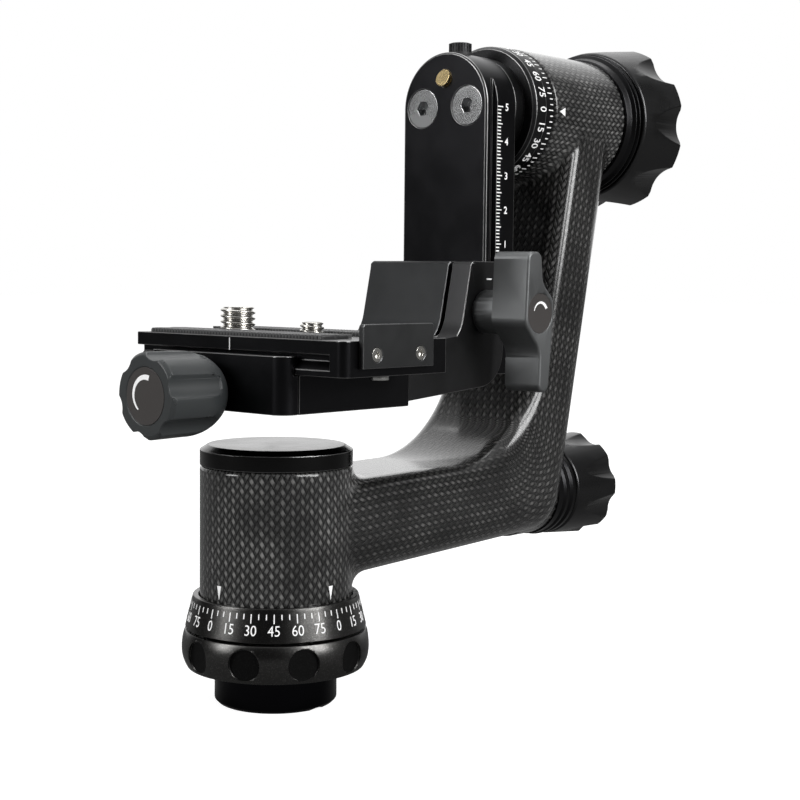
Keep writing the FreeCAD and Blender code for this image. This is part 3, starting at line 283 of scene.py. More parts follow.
metalSurface = {"smudge": 60.0, "worn": 1.25, "latheGrain": 2600.0, "latheDepth": 0.00002}
blastedSurface = {"smudge": 45.0, "worn": 1.15}
metalLooks = {  # colour, roughness, strength of the lathe's grain, metallic
    "smoothBlack": ((0.024, 0.024, 0.026), 0.28, 0.25, 1.0),
    "satinGrey": ((0.037, 0.038, 0.039), 0.46, 0.3, 1.0),
    "bracketGrey": ((0.056, 0.057, 0.058), 0.46, 0.3, 1.0),
    "collarBlack": ((0.024, 0.024, 0.025), 0.30, 0.0, 1.0),
    "jawBlack": ((0.044, 0.044, 0.045), 0.40, 0.3, 1.0),
    "leverGrey": ((0.180, 0.185, 0.187), 0.48, 0.3, 1.0),
    "knobBlack": ((0.050, 0.050, 0.051), 0.27, 0.0, 1.0),
    "clampKnob": ((0.026, 0.029, 0.030), 0.40, 0.0, 0.0),
    "edgeBlack": ((0.22, 0.22, 0.22), 0.30, 0.0, 1.0),
    "edgeGrey": ((0.17, 0.172, 0.175), 0.32, 0.0, 1.0),
    "glossBlack": ((0.012, 0.012, 0.014), 0.16, 0.0, 1.0),
    "capBlack": ((0.024, 0.024, 0.024), 0.19, 0.25, 1.0),
    "innerAluminium": ((0.62, 0.62, 0.61), 0.35, 0.0, 1.0),
    "steel": ((0.56, 0.555, 0.54), 0.24, 0.0, 1.0),
    "zinc": ((0.46, 0.465, 0.47), 0.24, 0.1, 1.0),
    "nickel": ((0.66, 0.645, 0.61), 0.22, 0.0, 1.0),
    "brass": ((0.90, 0.70, 0.36), 0.24, 0.0, 1.0),
    "rubber": ((0.020, 0.020, 0.021), 0.55, 0.0, 0.0),
    # the pad's ribs are painted lighter than the pad's rubber: painted light on the rib tops
    "ribRubberPaintedLit": ((0.085, 0.085, 0.086), 0.45, 0.0, 0.0),
    "label": ((0.055, 0.050, 0.048), 0.42, 0.0, 0.3),
}
blastedLooks = {  # colour, sparks, grain, share of sparks, roughness, depth and strength of the relief
    "blastedBlack": ((0.072, 0.071, 0.069), (0.22, 0.217, 0.212), 5200.0, 0.35, 0.27, 0.00003, 0.3),
    # the grip ring's dimples are painted much darker than the ring: painted shade in the hollows
    "dimplePaintedShade": ((0.012, 0.012, 0.012), (0.05, 0.05, 0.05), 5200.0, 0.2, 0.55, 0.00003, 0.5),
    "satinBlack": ((0.030, 0.030, 0.031), (0.10, 0.10, 0.10), 4600.0, 0.2, 0.34, 0.00002, 0.5),
}


def startMaterial(name):
    material = bpy.data.materials.new(name)
    material.use_nodes = True
    return material, material.node_tree, material.node_tree.nodes["Principled BSDF"]


def addSmudges(tree, shader, where, roughness, surface):
    smudge = useGroup(tree, smudgeGroup, {
        "Vector": where, "Scale": surface["smudge"], "Clean": roughness, "Worn": roughness * surface["worn"]})
    feed(tree, shader.inputs["Roughness"], smudge["Value"])


def metalFinish(name, color, roughness, lathe, metallic):
    material, tree, shader = startMaterial(name)
    where = addNode(tree, "ShaderNodeTexCoord").outputs["Object"]
    shader.inputs["Base Color"].default_value = (*color, 1)
    shader.inputs["Metallic"].default_value = metallic
    addSmudges(tree, shader, where, roughness, metalSurface)
    if lathe:
        grain = noise(tree, where, metalSurface["latheGrain"], 0.0)
        addBump(tree, shader, grain.outputs[0], lathe, metalSurface["latheDepth"])
    return material


def blastedFinish(name, base, spark, grain, amount, roughness, depth, strength):
    material, tree, shader = startMaterial(name)
    where = addNode(tree, "ShaderNodeTexCoord").outputs["Object"]
    blast = useGroup(tree, blastGroup, {
        "Vector": where, "Grain": grain, "Base": (*base, 1), "Spark": (*spark, 1), "Amount": amount})
    shader.inputs["Metallic"].default_value = 1.0
    feed(tree, shader.inputs["Base Color"], blast["Color"])
    addSmudges(tree, shader, where, roughness, blastedSurface)
    addBump(tree, shader, blast["Height"], strength, depth)
    return material


def plainFinish(name, color, roughness, specular=0.5):
    material, _, shader = startMaterial(name)
    shader.inputs["Base Color"].default_value = (*color, 1)
    shader.inputs["Roughness"].default_value = roughness
    shader.inputs["Specular IOR Level"].default_value = specular
    return material


carbonLook = {
    # the along tows are painted lighter than the across tows: a painted sheen
    "along": (0.084, 0.083, 0.081), "across": (0.044, 0.044, 0.043),
    # the arm's tows are painted darker than the column's and housing's: painted shade
    "armAlongShaded": (0.046, 0.045, 0.044), "armAcrossShaded": (0.017, 0.017, 0.016),
    "gap": (0.003, 0.003, 0.003), "fibre": 0.45, "weaveDepth": 0.00012,
    "Metallic": 0.0, "Roughness": 0.42, "Specular IOR Level": 0.15,
    "Coat IOR": 1.50, "Coat Weight": 1.0, "Coat Roughness": 0.15,
    "swayScale": 55.0, "sway": 0.42,    # how far the tows wander from straight
    "patchScale": 90.0, "patchFrom": 0.30, "patchTo": 0.70,     # paler and darker areas of the braid
    "patchLow": 0.45, "patchHigh": 1.30,
}


def carbonFinish():
    look = carbonLook
    material, tree, shader = startMaterial("carbonTwill")
    where = addNode(tree, "ShaderNodeTexCoord").outputs["Object"]
    share = addNode(tree, "ShaderNodeAttribute", attribute_name="armShare").outputs["Fac"]
    sway = noise(tree, where, look["swayScale"], 1.0).outputs["Color"]
    pull = scaleVector(tree, addVectors(tree, sway, (-0.5, -0.5, -0.5)), look["sway"])

    def braid(uvName, along, across):
        flat = addNode(tree, "ShaderNodeUVMap", uv_map=uvName).outputs[0]
        return useGroup(tree, twillGroup, {
            "Pattern": addVectors(tree, flat, pull), "Along Lit": (*along, 1), "Across Shaded": (*across, 1),
            "Gap": (*look["gap"], 1), "Fibre": look["fibre"]})

    tube = braid("aroundTube", look["along"], look["across"])
    # the arm's braid takes the darker painted-shade colours
    arm = braid("alongArm", look["armAlongShaded"], look["armAcrossShaded"])
    patches = noise(tree, where, look["patchScale"], 2.0).outputs[0]
    patch = ramp(tree, patches, *(look["patch" + end] for end in ("From", "To", "Low", "High")))
    color = mix(tree, share, tube["Color"], arm["Color"], "RGBA")
    feed(tree, shader.inputs["Base Color"], mix(tree, 1.0, color, greyOf(tree, patch), "RGBA", "MULTIPLY"))
    addBump(tree, shader, mix(tree, share, tube["Height"], arm["Height"]), 1.0, look["weaveDepth"])
    for key in ("Metallic", "Roughness", "Specular IOR Level", "Coat IOR", "Coat Weight", "Coat Roughness"):
        shader.inputs[key].default_value = look[key]
    return material


finish = {name: metalFinish(name, *values) for name, values in metalLooks.items()}
finish.update({name: blastedFinish(name, *values) for name, values in blastedLooks.items()})
finish["carbon"] = carbonFinish()
finish["polymer"] = plainFinish("polymer", (0.70, 0.68, 0.62), 0.5)
finish["white"] = plainFinish("markingWhite", (0.86, 0.86, 0.86), 0.6, specular=0.2)
print("materials ready:", len(finish))


# mesh helpers

softening = {"weld": 2e-6, "flatWithin": 0.6, "bevelAbove": 28.0, "segments": 2, "sharpAbove": 38.0}


def linkObject(name, data):
    obj = bpy.data.objects.new(name, data)
    bpy.context.scene.collection.objects.link(obj)
    return obj


def shapeMesh(name, points, faces):
    mesh = bpy.data.meshes.new(name)
    mesh.from_pydata([tuple(mm * float(c) for c in p) for p in points], [], faces)
    mesh.validate()
    mesh.update()
    return linkObject(name, mesh)


def editMesh(mesh, work):
    build = bmesh.new()
    build.from_mesh(mesh)
    work(build)
    build.to_mesh(mesh)
    build.free()


def faceOutwards(obj):
    editMesh(obj.data, lambda build: bmesh.ops.recalc_face_normals(build, faces=build.faces))


def smoothByAngle(obj, angle):
    mesh = obj.data
    mesh.polygons.foreach_set("use_smooth", [True] * len(mesh.polygons))
    mesh.set_sharp_from_angle(angle=math.radians(angle))
    mesh.update()


def placePiece(obj, body, material, replaces=()):
    if material is not None:
        obj.data.materials.clear()
        obj.data.materials.append(finish[material])
    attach(obj, body)
    if replaces:
        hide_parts(*replaces)
    return obj


def flatten(obj):
    graph = bpy.context.evaluated_depsgraph_get()
    mesh = bpy.data.meshes.new_from_object(obj.evaluated_get(graph))
    old = obj.data
    obj.modifiers.clear()
    obj.data = mesh
    if old.users == 0:
        bpy.data.meshes.remove(old)
    return obj


def keepInside(mesh, node):
    low, high = (np.array(c[:]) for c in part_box(node))
    points = np.zeros(3 * len(mesh.vertices))
    mesh.vertices.foreach_get("co", points)
    mesh.vertices.foreach_set("co", np.clip(points.reshape(-1, 3), low, high).ravel())
    mesh.update()


def pieceName(node, ending):
    return node.title().replace("_", "") + ending


def softened(node, width, material, dissolve=True, shift=None, edge=None):
    look = softening
    piece = linkObject(pieceName(node, "Shell"), cad[node].data.copy())

    def simplify(build):
        bmesh.ops.remove_doubles(build, verts=build.verts, dist=look["weld"])
        if dissolve:
            limit = math.radians(look["flatWithin"])
            bmesh.ops.dissolve_limit(build, angle_limit=limit, verts=build.verts, edges=build.edges)

    editMesh(piece.data, simplify)
    piece.data.polygons.foreach_set("use_smooth", [True] * len(piece.data.polygons))
    if width:
        bevel = piece.modifiers.new("edgeSoftening", "BEVEL")
        bevel.width = width * mm
        bevel.segments = look["segments"]
        bevel.limit_method = "ANGLE"
        bevel.angle_limit = math.radians(look["bevelAbove"])
        bevel.use_clamp_overlap = False
        if edge:
            piece.data.materials.clear()
            for name in (material, edge):
                piece.data.materials.append(finish[name])
            bevel.material = 1
        flatten(piece)
    keepInside(piece.data, node)
    smoothByAngle(piece, look["sharpAbove"])
    if shift:
        shift(piece.data)
    weigh = piece.modifiers.new("flatFaces", "WEIGHTED_NORMAL")
    weigh.mode = "FACE_AREA"
    weigh.weight = 100
    weigh.keep_sharp = True
    flatten(piece)
    return placePiece(piece, bodyOf[node], None if edge and width else material, [node])


def axisMatrix(columns, centre):
    matrix = Matrix(columns).transposed().to_4x4()
    matrix.translation = Vector(centre) * mm
    return matrix


# geometry nodes: trees for what repeats

def newTree(name, inputs):
    inputs = inputs + [("Material", "Material", None)]
    return newGroup(name, inputs, [("Geometry", "Geometry")], "GeometryNodeTree")


def closeTree(tree, geometry, given, out):
    real = addNode(tree, "GeometryNodeRealizeInstances", {0: geometry})
    paint = addNode(tree, "GeometryNodeSetMaterial", {"Geometry": real.outputs[0], "Material": given["Material"]})
    feed(tree, out["Geometry"], paint.outputs[0])
    return tree


def runTree(name, tree, values, lengths, material):
    obj = linkObject(name, bpy.data.meshes.new(name))
    modifier = obj.modifiers.new("builder", "NODES")
    modifier.node_group = tree
    sockets = {s.name: s.identifier for s in tree.interface.items_tree if s.in_out == "INPUT"}
    values = {**values, "Material": finish[material]}
    for key, length in lengths.items():
        values[key] = (Vector(length) if isinstance(length, tuple) else length) * mm
    for key, value in values.items():
        modifier[sockets[key]] = value
    return flatten(obj)


def buildRingTicksTree():
    tree, given, out = newTree("ringTicks", [
        ("Count", "Int", 72), ("Long Every", "Int", 3), ("Radius", "Float", 0.02), ("Slope", "Float", 0.0),
        ("Top", "Float", 0.0), ("Short Length", "Float", 0.001), ("Long Length", "Float", 0.002),
        ("Width", "Float", 0.0003), ("Thickness", "Float", 0.0001)])
    ring = addNode(tree, "GeometryNodeMeshCircle", {"Vertices": given["Count"], "Radius": 1.0})
    index = addNode(tree, "GeometryNodeInputIndex").outputs[0]
    turn = times(tree, calc(tree, "DIVIDE", index, given["Count"]), math.tau)
    extra = minus(tree, given["Long Length"], given["Short Length"])
    extra = times(tree, isMultiple(tree, index, given["Long Every"]), extra)
    length = plus(tree, extra, given["Short Length"])
    half = times(tree, length, 0.5)
    level = minus(tree, given["Top"], times(tree, half, calc(tree, "COSINE", given["Slope"])))
    radius = plus(tree, given["Radius"], times(tree, half, calc(tree, "SINE", given["Slope"])))
    x, y = (times(tree, radius, calc(tree, wave, turn)) for wave in ("COSINE", "SINE"))
    moved = addNode(tree, "GeometryNodeSetPosition", {
        "Geometry": ring.outputs[0], "Position": joinXYZ(tree, x, y, level)})
    size = joinXYZ(tree, given["Thickness"], given["Width"], 1.0)
    tick = addNode(tree, "GeometryNodeMeshCube", {"Size": size})
    copies = addNode(tree, "GeometryNodeInstanceOnPoints", {
        "Points": moved.outputs[0], "Instance": tick.outputs[0], "Scale": joinXYZ(tree, 1.0, 1.0, length),
        "Rotation": joinXYZ(tree, 0.0, times(tree, given["Slope"], -1.0), turn)})
    return closeTree(tree, copies.outputs[0], given, out)


def buildRowTree():
    tree, given, out = newTree("rowOfBars", [
        ("Count", "Int", 10), ("Start", "Vector", (0, 0, 0)), ("Step", "Vector", (0, 0, 0.001)),
        ("Size", "Vector", (0.001, 0.001, 0.001)), ("Turn", "Vector", (0, 0, 0)),
        ("Grow", "Vector", (0, 0, 0)), ("Grow More", "Vector", (0, 0, 0)),
        ("Grow Every", "Int", 5), ("Grow More Every", "Int", 10)])
    row = addNode(tree, "GeometryNodeMeshLine", {
        "Count": given["Count"], "Start Location": given["Start"], "Offset": given["Step"]})
    index = addNode(tree, "GeometryNodeInputIndex").outputs[0]
    growth = [scaleVector(tree, given[grow], isMultiple(tree, index, given[grow + " Every"]))
              for grow in ("Grow", "Grow More")]
    growth = addVectors(tree, *growth)
    bar = addNode(tree, "GeometryNodeMeshCube", {"Size": (1.0, 1.0, 1.0)})
    moved = addNode(tree, "GeometryNodeSetPosition", {
        "Geometry": row.outputs[0], "Offset": scaleVector(tree, growth, 0.5)})
    copies = addNode(tree, "GeometryNodeInstanceOnPoints", {
        "Points": moved.outputs[0], "Instance": bar.outputs[0], "Rotation": given["Turn"],
        "Scale": addVectors(tree, given["Size"], growth)})
    return closeTree(tree, copies.outputs[0], given, out)


threadFlank = {"from": 0.12, "to": 0.88, "wholeTurns": 40.0}   # whole turns keep the phase above zero


def buildThreadTree():
    tree, given, out = newTree("threadedShank", [
        ("Crest", "Float", 0.004), ("Root", "Float", 0.003), ("Length", "Float", 0.005), ("Pitch", "Float", 0.001),
        ("Point", "Float", 0.0006), ("Sides", "Int", 40), ("Rings", "Int", 60), ("Place", "Vector", (0, 0, 0))])
    rod = addNode(tree, "GeometryNodeMeshCylinder", {
        "Vertices": given["Sides"], "Side Segments": given["Rings"], "Radius": 1.0, "Depth": given["Length"]})
    x, y, z = splitXYZ(tree, addNode(tree, "GeometryNodeInputPosition").outputs[0])
    turn = calc(tree, "DIVIDE", calc(tree, "ARCTAN2", y, x), math.tau)
    rise = calc(tree, "DIVIDE", z, given["Pitch"])
    phase = calc(tree, "FRACT", plus(tree, rise, plus(tree, turn, threadFlank["wholeTurns"])))
    flank = calc(tree, "ABSOLUTE", minus(tree, times(tree, phase, 2.0), 1.0))
    radius = mix(tree, ramp(tree, flank, threadFlank["from"], threadFlank["to"]), given["Root"], given["Crest"])
    top = minus(tree, times(tree, given["Length"], 0.5), z)
    cone = plus(tree, minus(tree, given["Crest"], given["Point"]), top)
    radius = calc(tree, "MINIMUM", radius, cone)
    moved = joinXYZ(tree, times(tree, x, radius), times(tree, y, radius), z)
    shaped = addNode(tree, "GeometryNodeSetPosition", {"Geometry": rod.outputs[0], "Position": moved})
    placed = addNode(tree, "GeometryNodeSetPosition", {"Geometry": shaped.outputs[0], "Offset": given["Place"]})
    return closeTree(tree, placed.outputs[0], given, out)


ringTicksTree = buildRingTicksTree()
rowTree = buildRowTree()
threadTree = buildThreadTree()


# numerals

def textMesh(words, look):
    curve = bpy.data.curves.new("numeral", "FONT")
    curve.body = words
    curve.size = 1.0
    curve.align_x = "CENTER"
    curve.align_y = "CENTER"
    curve.extrude = 0.5
    curve.offset = look["weight"]
    curve.resolution_u = 4
    obj = linkObject("numeralTemp", curve)
    graph = bpy.context.evaluated_depsgraph_get()
    mesh = bpy.data.meshes.new_from_object(obj.evaluated_get(graph))
    bpy.data.objects.remove(obj)
    points = np.array([v.co[:] for v in mesh.vertices])
    faces = [tuple(p.vertices) for p in mesh.polygons]
    bpy.data.meshes.remove(mesh)
    points[:, 1] -= 0.5 * (points[:, 1].max() + points[:, 1].min())
    scale = look["height"] / (points[:, 1].max() - points[:, 1].min())
    points[:, 0] *= scale * look["squeeze"]
    points[:, 1] *= scale
    points[:, 2] *= look["depth"]
    return points, faces


def shapeNumerals(name, numerals, look, place):
    allPoints, allFaces = [], []
    for words, *where in numerals:
        points, faces = textMesh(words, look)
        base = len(allPoints)
        allPoints += [place(x, y, z, *where) for x, y, z in points]
        allFaces += [tuple(base + k for k in face) for face in faces]
    return shapeMesh(name, allPoints, allFaces)


# carbon frame

carbonFrame = {
    "columnRadius": 20.5, "columnLow": 28.1, "columnTop": 64.2,
    "halfWidth": 19.4, "innerEdge": 6.5, "outerEdge": 11.0,
    "lowStart": 32.4, "lowRise": 4.0, "outerCorner": (107.0, 36.4), "outerBend": 13.5,
    "topStart": 59.4, "topRise": 1.4, "innerCorner": (86.1, 60.8), "innerBend": 38.0,
    "lean": 0.2075, "centreBend": 25.0,
    "housingRadius": 20.0, "housingFrom": 96.4, "housingTo": 133.6, "tiltHeight": 164.7,
    "bossRadius": 13.8, "bossFrom": 97.6, "bossFace": 109.6, "bossHeight": 46.8, "recessRadius": 14.8,
    "neckBlend": 5.2, "neckFade": (11.0, 19.0), "housingBlend": 4.5, "housingFade": (12.0, 19.0), "sideBlend": 1.8,
    "topRounding": 1.1, "endRounding": 0.8,
    # where each form takes part
    "columnUntil": 60.0, "topUntil": 45.0, "housingAbove": 120.0, "endsAbove": 130.0,
    "bossBelow": 80.0, "recessPast": 100.0, "far": 99.0,
    # the weave
    "braidWidth": 2.65, "braidRepeat": 2.72, "ringTurns": 49.0, "armTurns": 45.0,
    "tubeAbove": 110.0, "armFade": (-1.2, 1.6), "innerReach": (10, 24), "outerReach": (-24, -9),
}
frameNet = {
    "low": (-21.9, -21.5, 26.6), "high": (135.2, 21.6, 186.4), "cell": 0.8, "slabs": 12,
    "rounds": 4, "reach": 0.45, "lastRounds": 2, "lastReach": 0.02, "longestStep": 0.6, "leastSlope": 0.2,
    "relaxRounds": 3, "relax": 0.5, "sharpAbove": 50.0,
}
panAxis = axisMatrix(((1, 0, 0), (0, 1, 0), (0, 0, 1)), (0, 0, 0))
tiltAxis = axisMatrix(((0, 1, 0), (0, 0, 1), (1, 0, 0)), (0, 0, carbonFrame["tiltHeight"]))


def unit(vector):
    return np.array(vector) / np.hypot(*vector)


def cornerRegion(x, z, corner, first, second, radius):
    h1 = (x - corner[0]) * first[0] + (z - corner[1]) * first[1]
    h2 = (x - corner[0]) * second[0] + (z - corner[1]) * second[1]
    dot = float(first @ second)
    centre = np.array(corner) - radius * (first + second) / (1 + dot)
    px, pz = x - centre[0], z - centre[1]
    p1 = px * first[0] + pz * first[1]
    p2 = px * second[0] + pz * second[1]
    a = (p1 - dot * p2) / (1 - dot * dot)
    b = (p2 - dot * p1) / (1 - dot * dot)
    return np.where((a > 0) & (b > 0), np.hypot(px, pz) - radius, np.maximum(h1, h2))


def roundedMeet(a, b, radius):
    u = np.maximum(a + radius, 0)
    v = np.maximum(b + radius, 0)
    return np.minimum(np.maximum(a + radius, b + radius), 0) + np.hypot(u, v) - radius


def smoothJoin(a, b, k):
    h = np.maximum(k - np.abs(a - b), 0) / k
    return np.minimum(a, b) - h * h * k * 0.25


def smoothStep(value, low, high):
    t = np.clip((value - low) / (high - low), 0, 1)
    return t * t * (3 - 2 * t)


def armBoundaries(x, z):
    look = carbonFrame
    low = unit((look["outerCorner"][0], look["lowRise"]))
    top = unit((look["innerCorner"][0], look["topRise"]))
    up = unit((look["lean"], 1.0))
    below, behind = np.array([low[1], -low[0]]), np.array([up[1], -up[0]])
    above, ahead = -np.array([-top[1], top[0]]), -np.array([-up[1], up[0]])
    outer = cornerRegion(x, z, look["outerCorner"], below, behind, look["outerBend"])
    inner = -cornerRegion(x, z, look["innerCorner"], above, ahead, look["innerBend"])
    return outer, inner


def frameFields(p):
    look = carbonFrame
    far = look["far"]
    x, y, z = p[..., 0], p[..., 1], p[..., 2]
    wide = np.abs(y)

    def blendOf(name):
        middle, edge = look[name + "Blend"], look["sideBlend"]
        return middle + (edge - middle) * smoothStep(wide, *look[name + "Fade"])

    column = np.hypot(x, y) - look["columnRadius"]
    outer, inner = armBoundaries(x, z)
    side = wide - look["halfWidth"]
    arm = np.maximum(roundedMeet(outer, side, look["outerEdge"]), roundedMeet(inner, side, look["innerEdge"]))
    arm = np.maximum(np.maximum(arm, -x), z - look["tiltHeight"])
    housing = np.hypot(y, z - look["tiltHeight"]) - look["housingRadius"]
    fromLock = np.hypot(y, z - look["bossHeight"])
    pastFace = x - look["bossFace"]
    boss = np.maximum(fromLock - look["bossRadius"], look["bossFrom"] - x)
    boss = np.maximum(boss, np.where(z < look["bossBelow"], pastFace, far))
    body = smoothJoin(np.where(x < look["columnUntil"], column, far), arm, blendOf("neck"))
    body = smoothJoin(body, np.where(z > look["housingAbove"], housing, far), blendOf("housing"))
    body = np.minimum(body, boss)
    top = np.where(x < look["topUntil"], z - look["columnTop"], -far)
    body = roundedMeet(body, top, look["topRounding"])
    ends = np.maximum(look["housingFrom"] - x, x - look["housingTo"])
    body = roundedMeet(body, np.where(z > look["endsAbove"], ends, -far), look["endRounding"])
    recess = np.minimum(look["recessRadius"] - fromLock, pastFace)
    recess = np.where((x > look["recessPast"]) & (z < look["bossBelow"]), recess, -far)
    return [body, look["columnLow"] - z, recess], column, housing, arm


def frameField(p):
    return np.maximum.reduce(frameFields(p)[0])


def netSurface(field, low, cell):
    inside = field < 0
    nx, ny, nz = field.shape

    def part(array, c):
        return array[c[0]:nx - 1 + c[0], c[1]:ny - 1 + c[1], c[2]:nz - 1 + c[2]]

    corner = [(i, j, k) for i in (0, 1) for j in (0, 1) for k in (0, 1)]
    count = sum(part(inside, c).astype(np.int8) for c in corner)
    active = (count > 0) & (count < 8)
    cells = np.argwhere(active)
    index = -np.ones(active.shape, np.int64)
    index[active] = np.arange(len(cells))
    total = np.zeros((len(cells), 3))
    hits = np.zeros(len(cells))
    for c in corner:
        for axis in range(3):
            if c[axis]:
                continue
            d = list(c)
            d[axis] = 1
            f0, f1 = (field[cells[:, 0] + e[0], cells[:, 1] + e[1], cells[:, 2] + e[2]] for e in (c, d))
            cross = (f0 < 0) != (f1 < 0)
            t = np.where(cross, f0 / np.where(cross, f0 - f1, 1), 0)
            point = np.array(c, float)[None, :].repeat(len(cells), 0)
            point[:, axis] += t
            total += np.where(cross[:, None], point, 0)
            hits += cross
    points = low + (cells + total / hits[:, None]) * cell
    faces = []
    for axis in range(3):
        a = np.moveaxis(inside, axis, 0)
        spots = np.argwhere(a[:-1] != a[1:])
        inner = (spots[:, 1:] > 0) & (spots[:, 1:] < np.array(a.shape[1:]) - 1)
        spots = spots[inner.all(1)]
        starts = a[spots[:, 0], spots[:, 1], spots[:, 2]]
        idx = np.moveaxis(index, axis, 0)
        around = ((-1, -1), (0, -1), (0, 0), (-1, 0))
        quads = np.stack([idx[spots[:, 0], spots[:, 1] + du, spots[:, 2] + dv] for du, dv in around], 1)
        flip = starts if axis != 1 else ~starts
        quads[~flip] = quads[~flip][:, ::-1]
        faces.append(quads)
    return points, np.concatenate(faces)


def gradientOf(function, points, step=0.01):
    grad = np.zeros_like(points)
    for axis in range(3):
        shift = np.zeros(3)
        shift[axis] = step
        grad[:, axis] = (function(points + shift) - function(points - shift)) / (2 * step)
    return grad


def settle(points, rounds, reach):
    fields = np.stack(frameFields(points)[0])
    near = np.abs(fields) < reach
    top = np.argmax(fields, 0)
    for k in range(len(fields)):
        near[k] |= top == k
    for _ in range(rounds):
        for k, use in enumerate(near):
            if not use.any():
                continue

            def single(q):
                return frameFields(q)[0][k]

            some = points[use]
            grad = gradientOf(single, some)
            size = np.maximum((grad ** 2).sum(1), frameNet["leastSlope"])
            move = -(single(some) / size)[:, None] * grad
            length = np.linalg.norm(move, axis=1, keepdims=True)
            points[use] = some + move * np.minimum(1, frameNet["longestStep"] / np.maximum(length, 1e-9))
    return points, near.sum(0)


def relax(points, faces, free):
    total = np.zeros_like(points)
    hits = np.zeros(len(points))
    for a, b in ((0, 1), (1, 2), (2, 3), (3, 0)):
        for one, other in ((a, b), (b, a)):
            np.add.at(total, faces[:, one], points[faces[:, other]])
            np.add.at(hits, faces[:, one], 1)
    mean = total / np.maximum(hits, 1)[:, None]
    points[free] += frameNet["relax"] * (mean - points)[free]


def armCoordinates(points):
    look = carbonFrame
    x, y, z = points.T
    slopeLow = look["lowRise"] / look["outerCorner"][0]
    slopeTop = look["topRise"] / look["innerCorner"][0]
    first = unit((1.0, 0.5 * (slopeLow + slopeTop)))
    second = unit((look["lean"], 1.0))
    middleZ = 0.5 * (look["lowStart"] + look["topStart"])
    middleX = 0.5 * (look["outerCorner"][0] + look["innerCorner"][0])
    middleAt = 0.5 * (look["outerCorner"][1] + look["innerCorner"][1])
    # where the two centre lines cross
    slope = first[1] / first[0]
    cornerX = (middleX + look["lean"] * (middleZ - middleAt)) / (1 - look["lean"] * slope)
    corner = np.array([cornerX, middleZ + slope * cornerX])
    turn = math.acos(float(first @ second))
    bend = look["centreBend"]
    reach = bend * math.tan(turn / 2)
    n1, n2 = np.array([-first[1], first[0]]), np.array([-second[1], second[0]])
    centre = corner - reach * first + bend * n1
    rel = np.stack([x, z], 1) - corner
    s1, s2 = rel @ first, rel @ second
    fromCentre = np.stack([x, z], 1) - centre
    angle = np.arctan2(fromCentre @ first, -(fromCentre @ n1))
    # the way along the arm, and the way across it from the centre line
    s = np.where(s1 < -reach, s1 + reach, np.where(s2 > reach, bend * turn + s2 - reach, bend * angle))
    n = np.where(s1 < -reach, rel @ n1, np.where(s2 > reach, rel @ n2, bend - np.hypot(*fromCentre.T)))
    outer, inner = armBoundaries(x, z)
    half, rIn, rOut = look["halfWidth"], look["innerEdge"], look["outerEdge"]
    reachIn = np.clip(n - inner, *look["innerReach"])
    bottom = np.clip(n + outer, *look["outerReach"])
    endIn = reachIn - rIn + rIn * math.pi / 2 + half - rIn
    endOut = -(-bottom - rOut + rOut * math.pi / 2 + half - rOut)
    wide = np.abs(y)
    phiIn = np.arctan2(np.maximum(inner + rIn, 0), np.maximum(wide - (half - rIn), 1e-6))
    phiOut = np.arctan2(np.maximum(outer + rOut, 0), np.maximum(wide - (half - rOut), 1e-6))
    overIn = reachIn - rIn + rIn * phiIn + np.maximum(half - rIn - wide, 0)
    overOut = bottom + rOut - rOut * phiOut - np.maximum(half - rOut - wide, 0)
    p = np.where(n > 0, np.where(inner > -rIn, overIn, n), np.where(outer > -rOut, overOut, n))
    width = look["braidWidth"]
    stretch = look["armTurns"] * width / (endIn - endOut) - 1
    back = np.where(n > 0, endIn + (endIn - p) * stretch, endOut - (p - endOut) * stretch)
    u = np.where(y <= 0, p, back) / width
    return u, s / look["braidRepeat"]


def unwrapLoops(values, loops, period):
    u = values[loops].reshape(-1, 4)
    top = u.max(1, keepdims=True)
    return np.where(top - u > period / 2, u + period, u).ravel()


def paintWeave(mesh):
    look = carbonFrame
    points = np.array([v.co[:] for v in mesh.vertices]) / mm
    _, column, housing, arm = frameFields(points)
    x, y, z = points.T
    onHousing = z > look["tubeAbove"]
    turn = np.where(onHousing, np.arctan2(y, -(z - look["tiltHeight"])), np.arctan2(y, x))
    around = turn / math.tau * look["ringTurns"]
    lengthways = np.where(onHousing, x, z) / look["braidRepeat"]
    share = smoothStep(np.where(onHousing, housing, column) - arm, *look["armFade"])
    loops = np.zeros(len(mesh.loops), np.int64)
    mesh.loops.foreach_get("vertex_index", loops)
    layers = {
        "aroundTube": (around, lengthways, look["ringTurns"]),
        "alongArm": (*armCoordinates(points), look["armTurns"]),
    }
    for name, (u, v, period) in layers.items():
        flat = np.stack([unwrapLoops(u, loops, period), v[loops]], 1)
        mesh.uv_layers.new(name=name).data.foreach_set("uv", flat.ravel())
    attribute = mesh.attributes.new("armShare", "FLOAT", "POINT")
    attribute.data.foreach_set("value", share.astype(np.float32))


def buildCarbonFrame():
    net = frameNet
    low = np.array(net["low"])
    axes = [np.arange(start, end, net["cell"]) for start, end in zip(net["low"], net["high"])]
    grid = np.stack(np.meshgrid(*axes, indexing="ij"), -1)
    field = np.concatenate([frameField(slab) for slab in np.array_split(grid, net["slabs"])])
    points, faces = netSurface(field, low, net["cell"])
    points, touch = settle(points, net["rounds"], net["reach"])
    for _ in range(net["relaxRounds"]):
        relax(points, faces, touch < 2)
    points, _ = settle(points, net["lastRounds"], net["lastReach"])
    obj = shapeMesh("carbonShell", points, faces.tolist())
    mesh = obj.data
    paintWeave(mesh)
    smoothByAngle(obj, net["sharpAbove"])
    print("carbon frame:", len(mesh.vertices), "points,", len(mesh.polygons), "faces")
    return placePiece(obj, "frame", "carbon", ["carbon_frame"])


buildCarbonFrame()


# metal parts

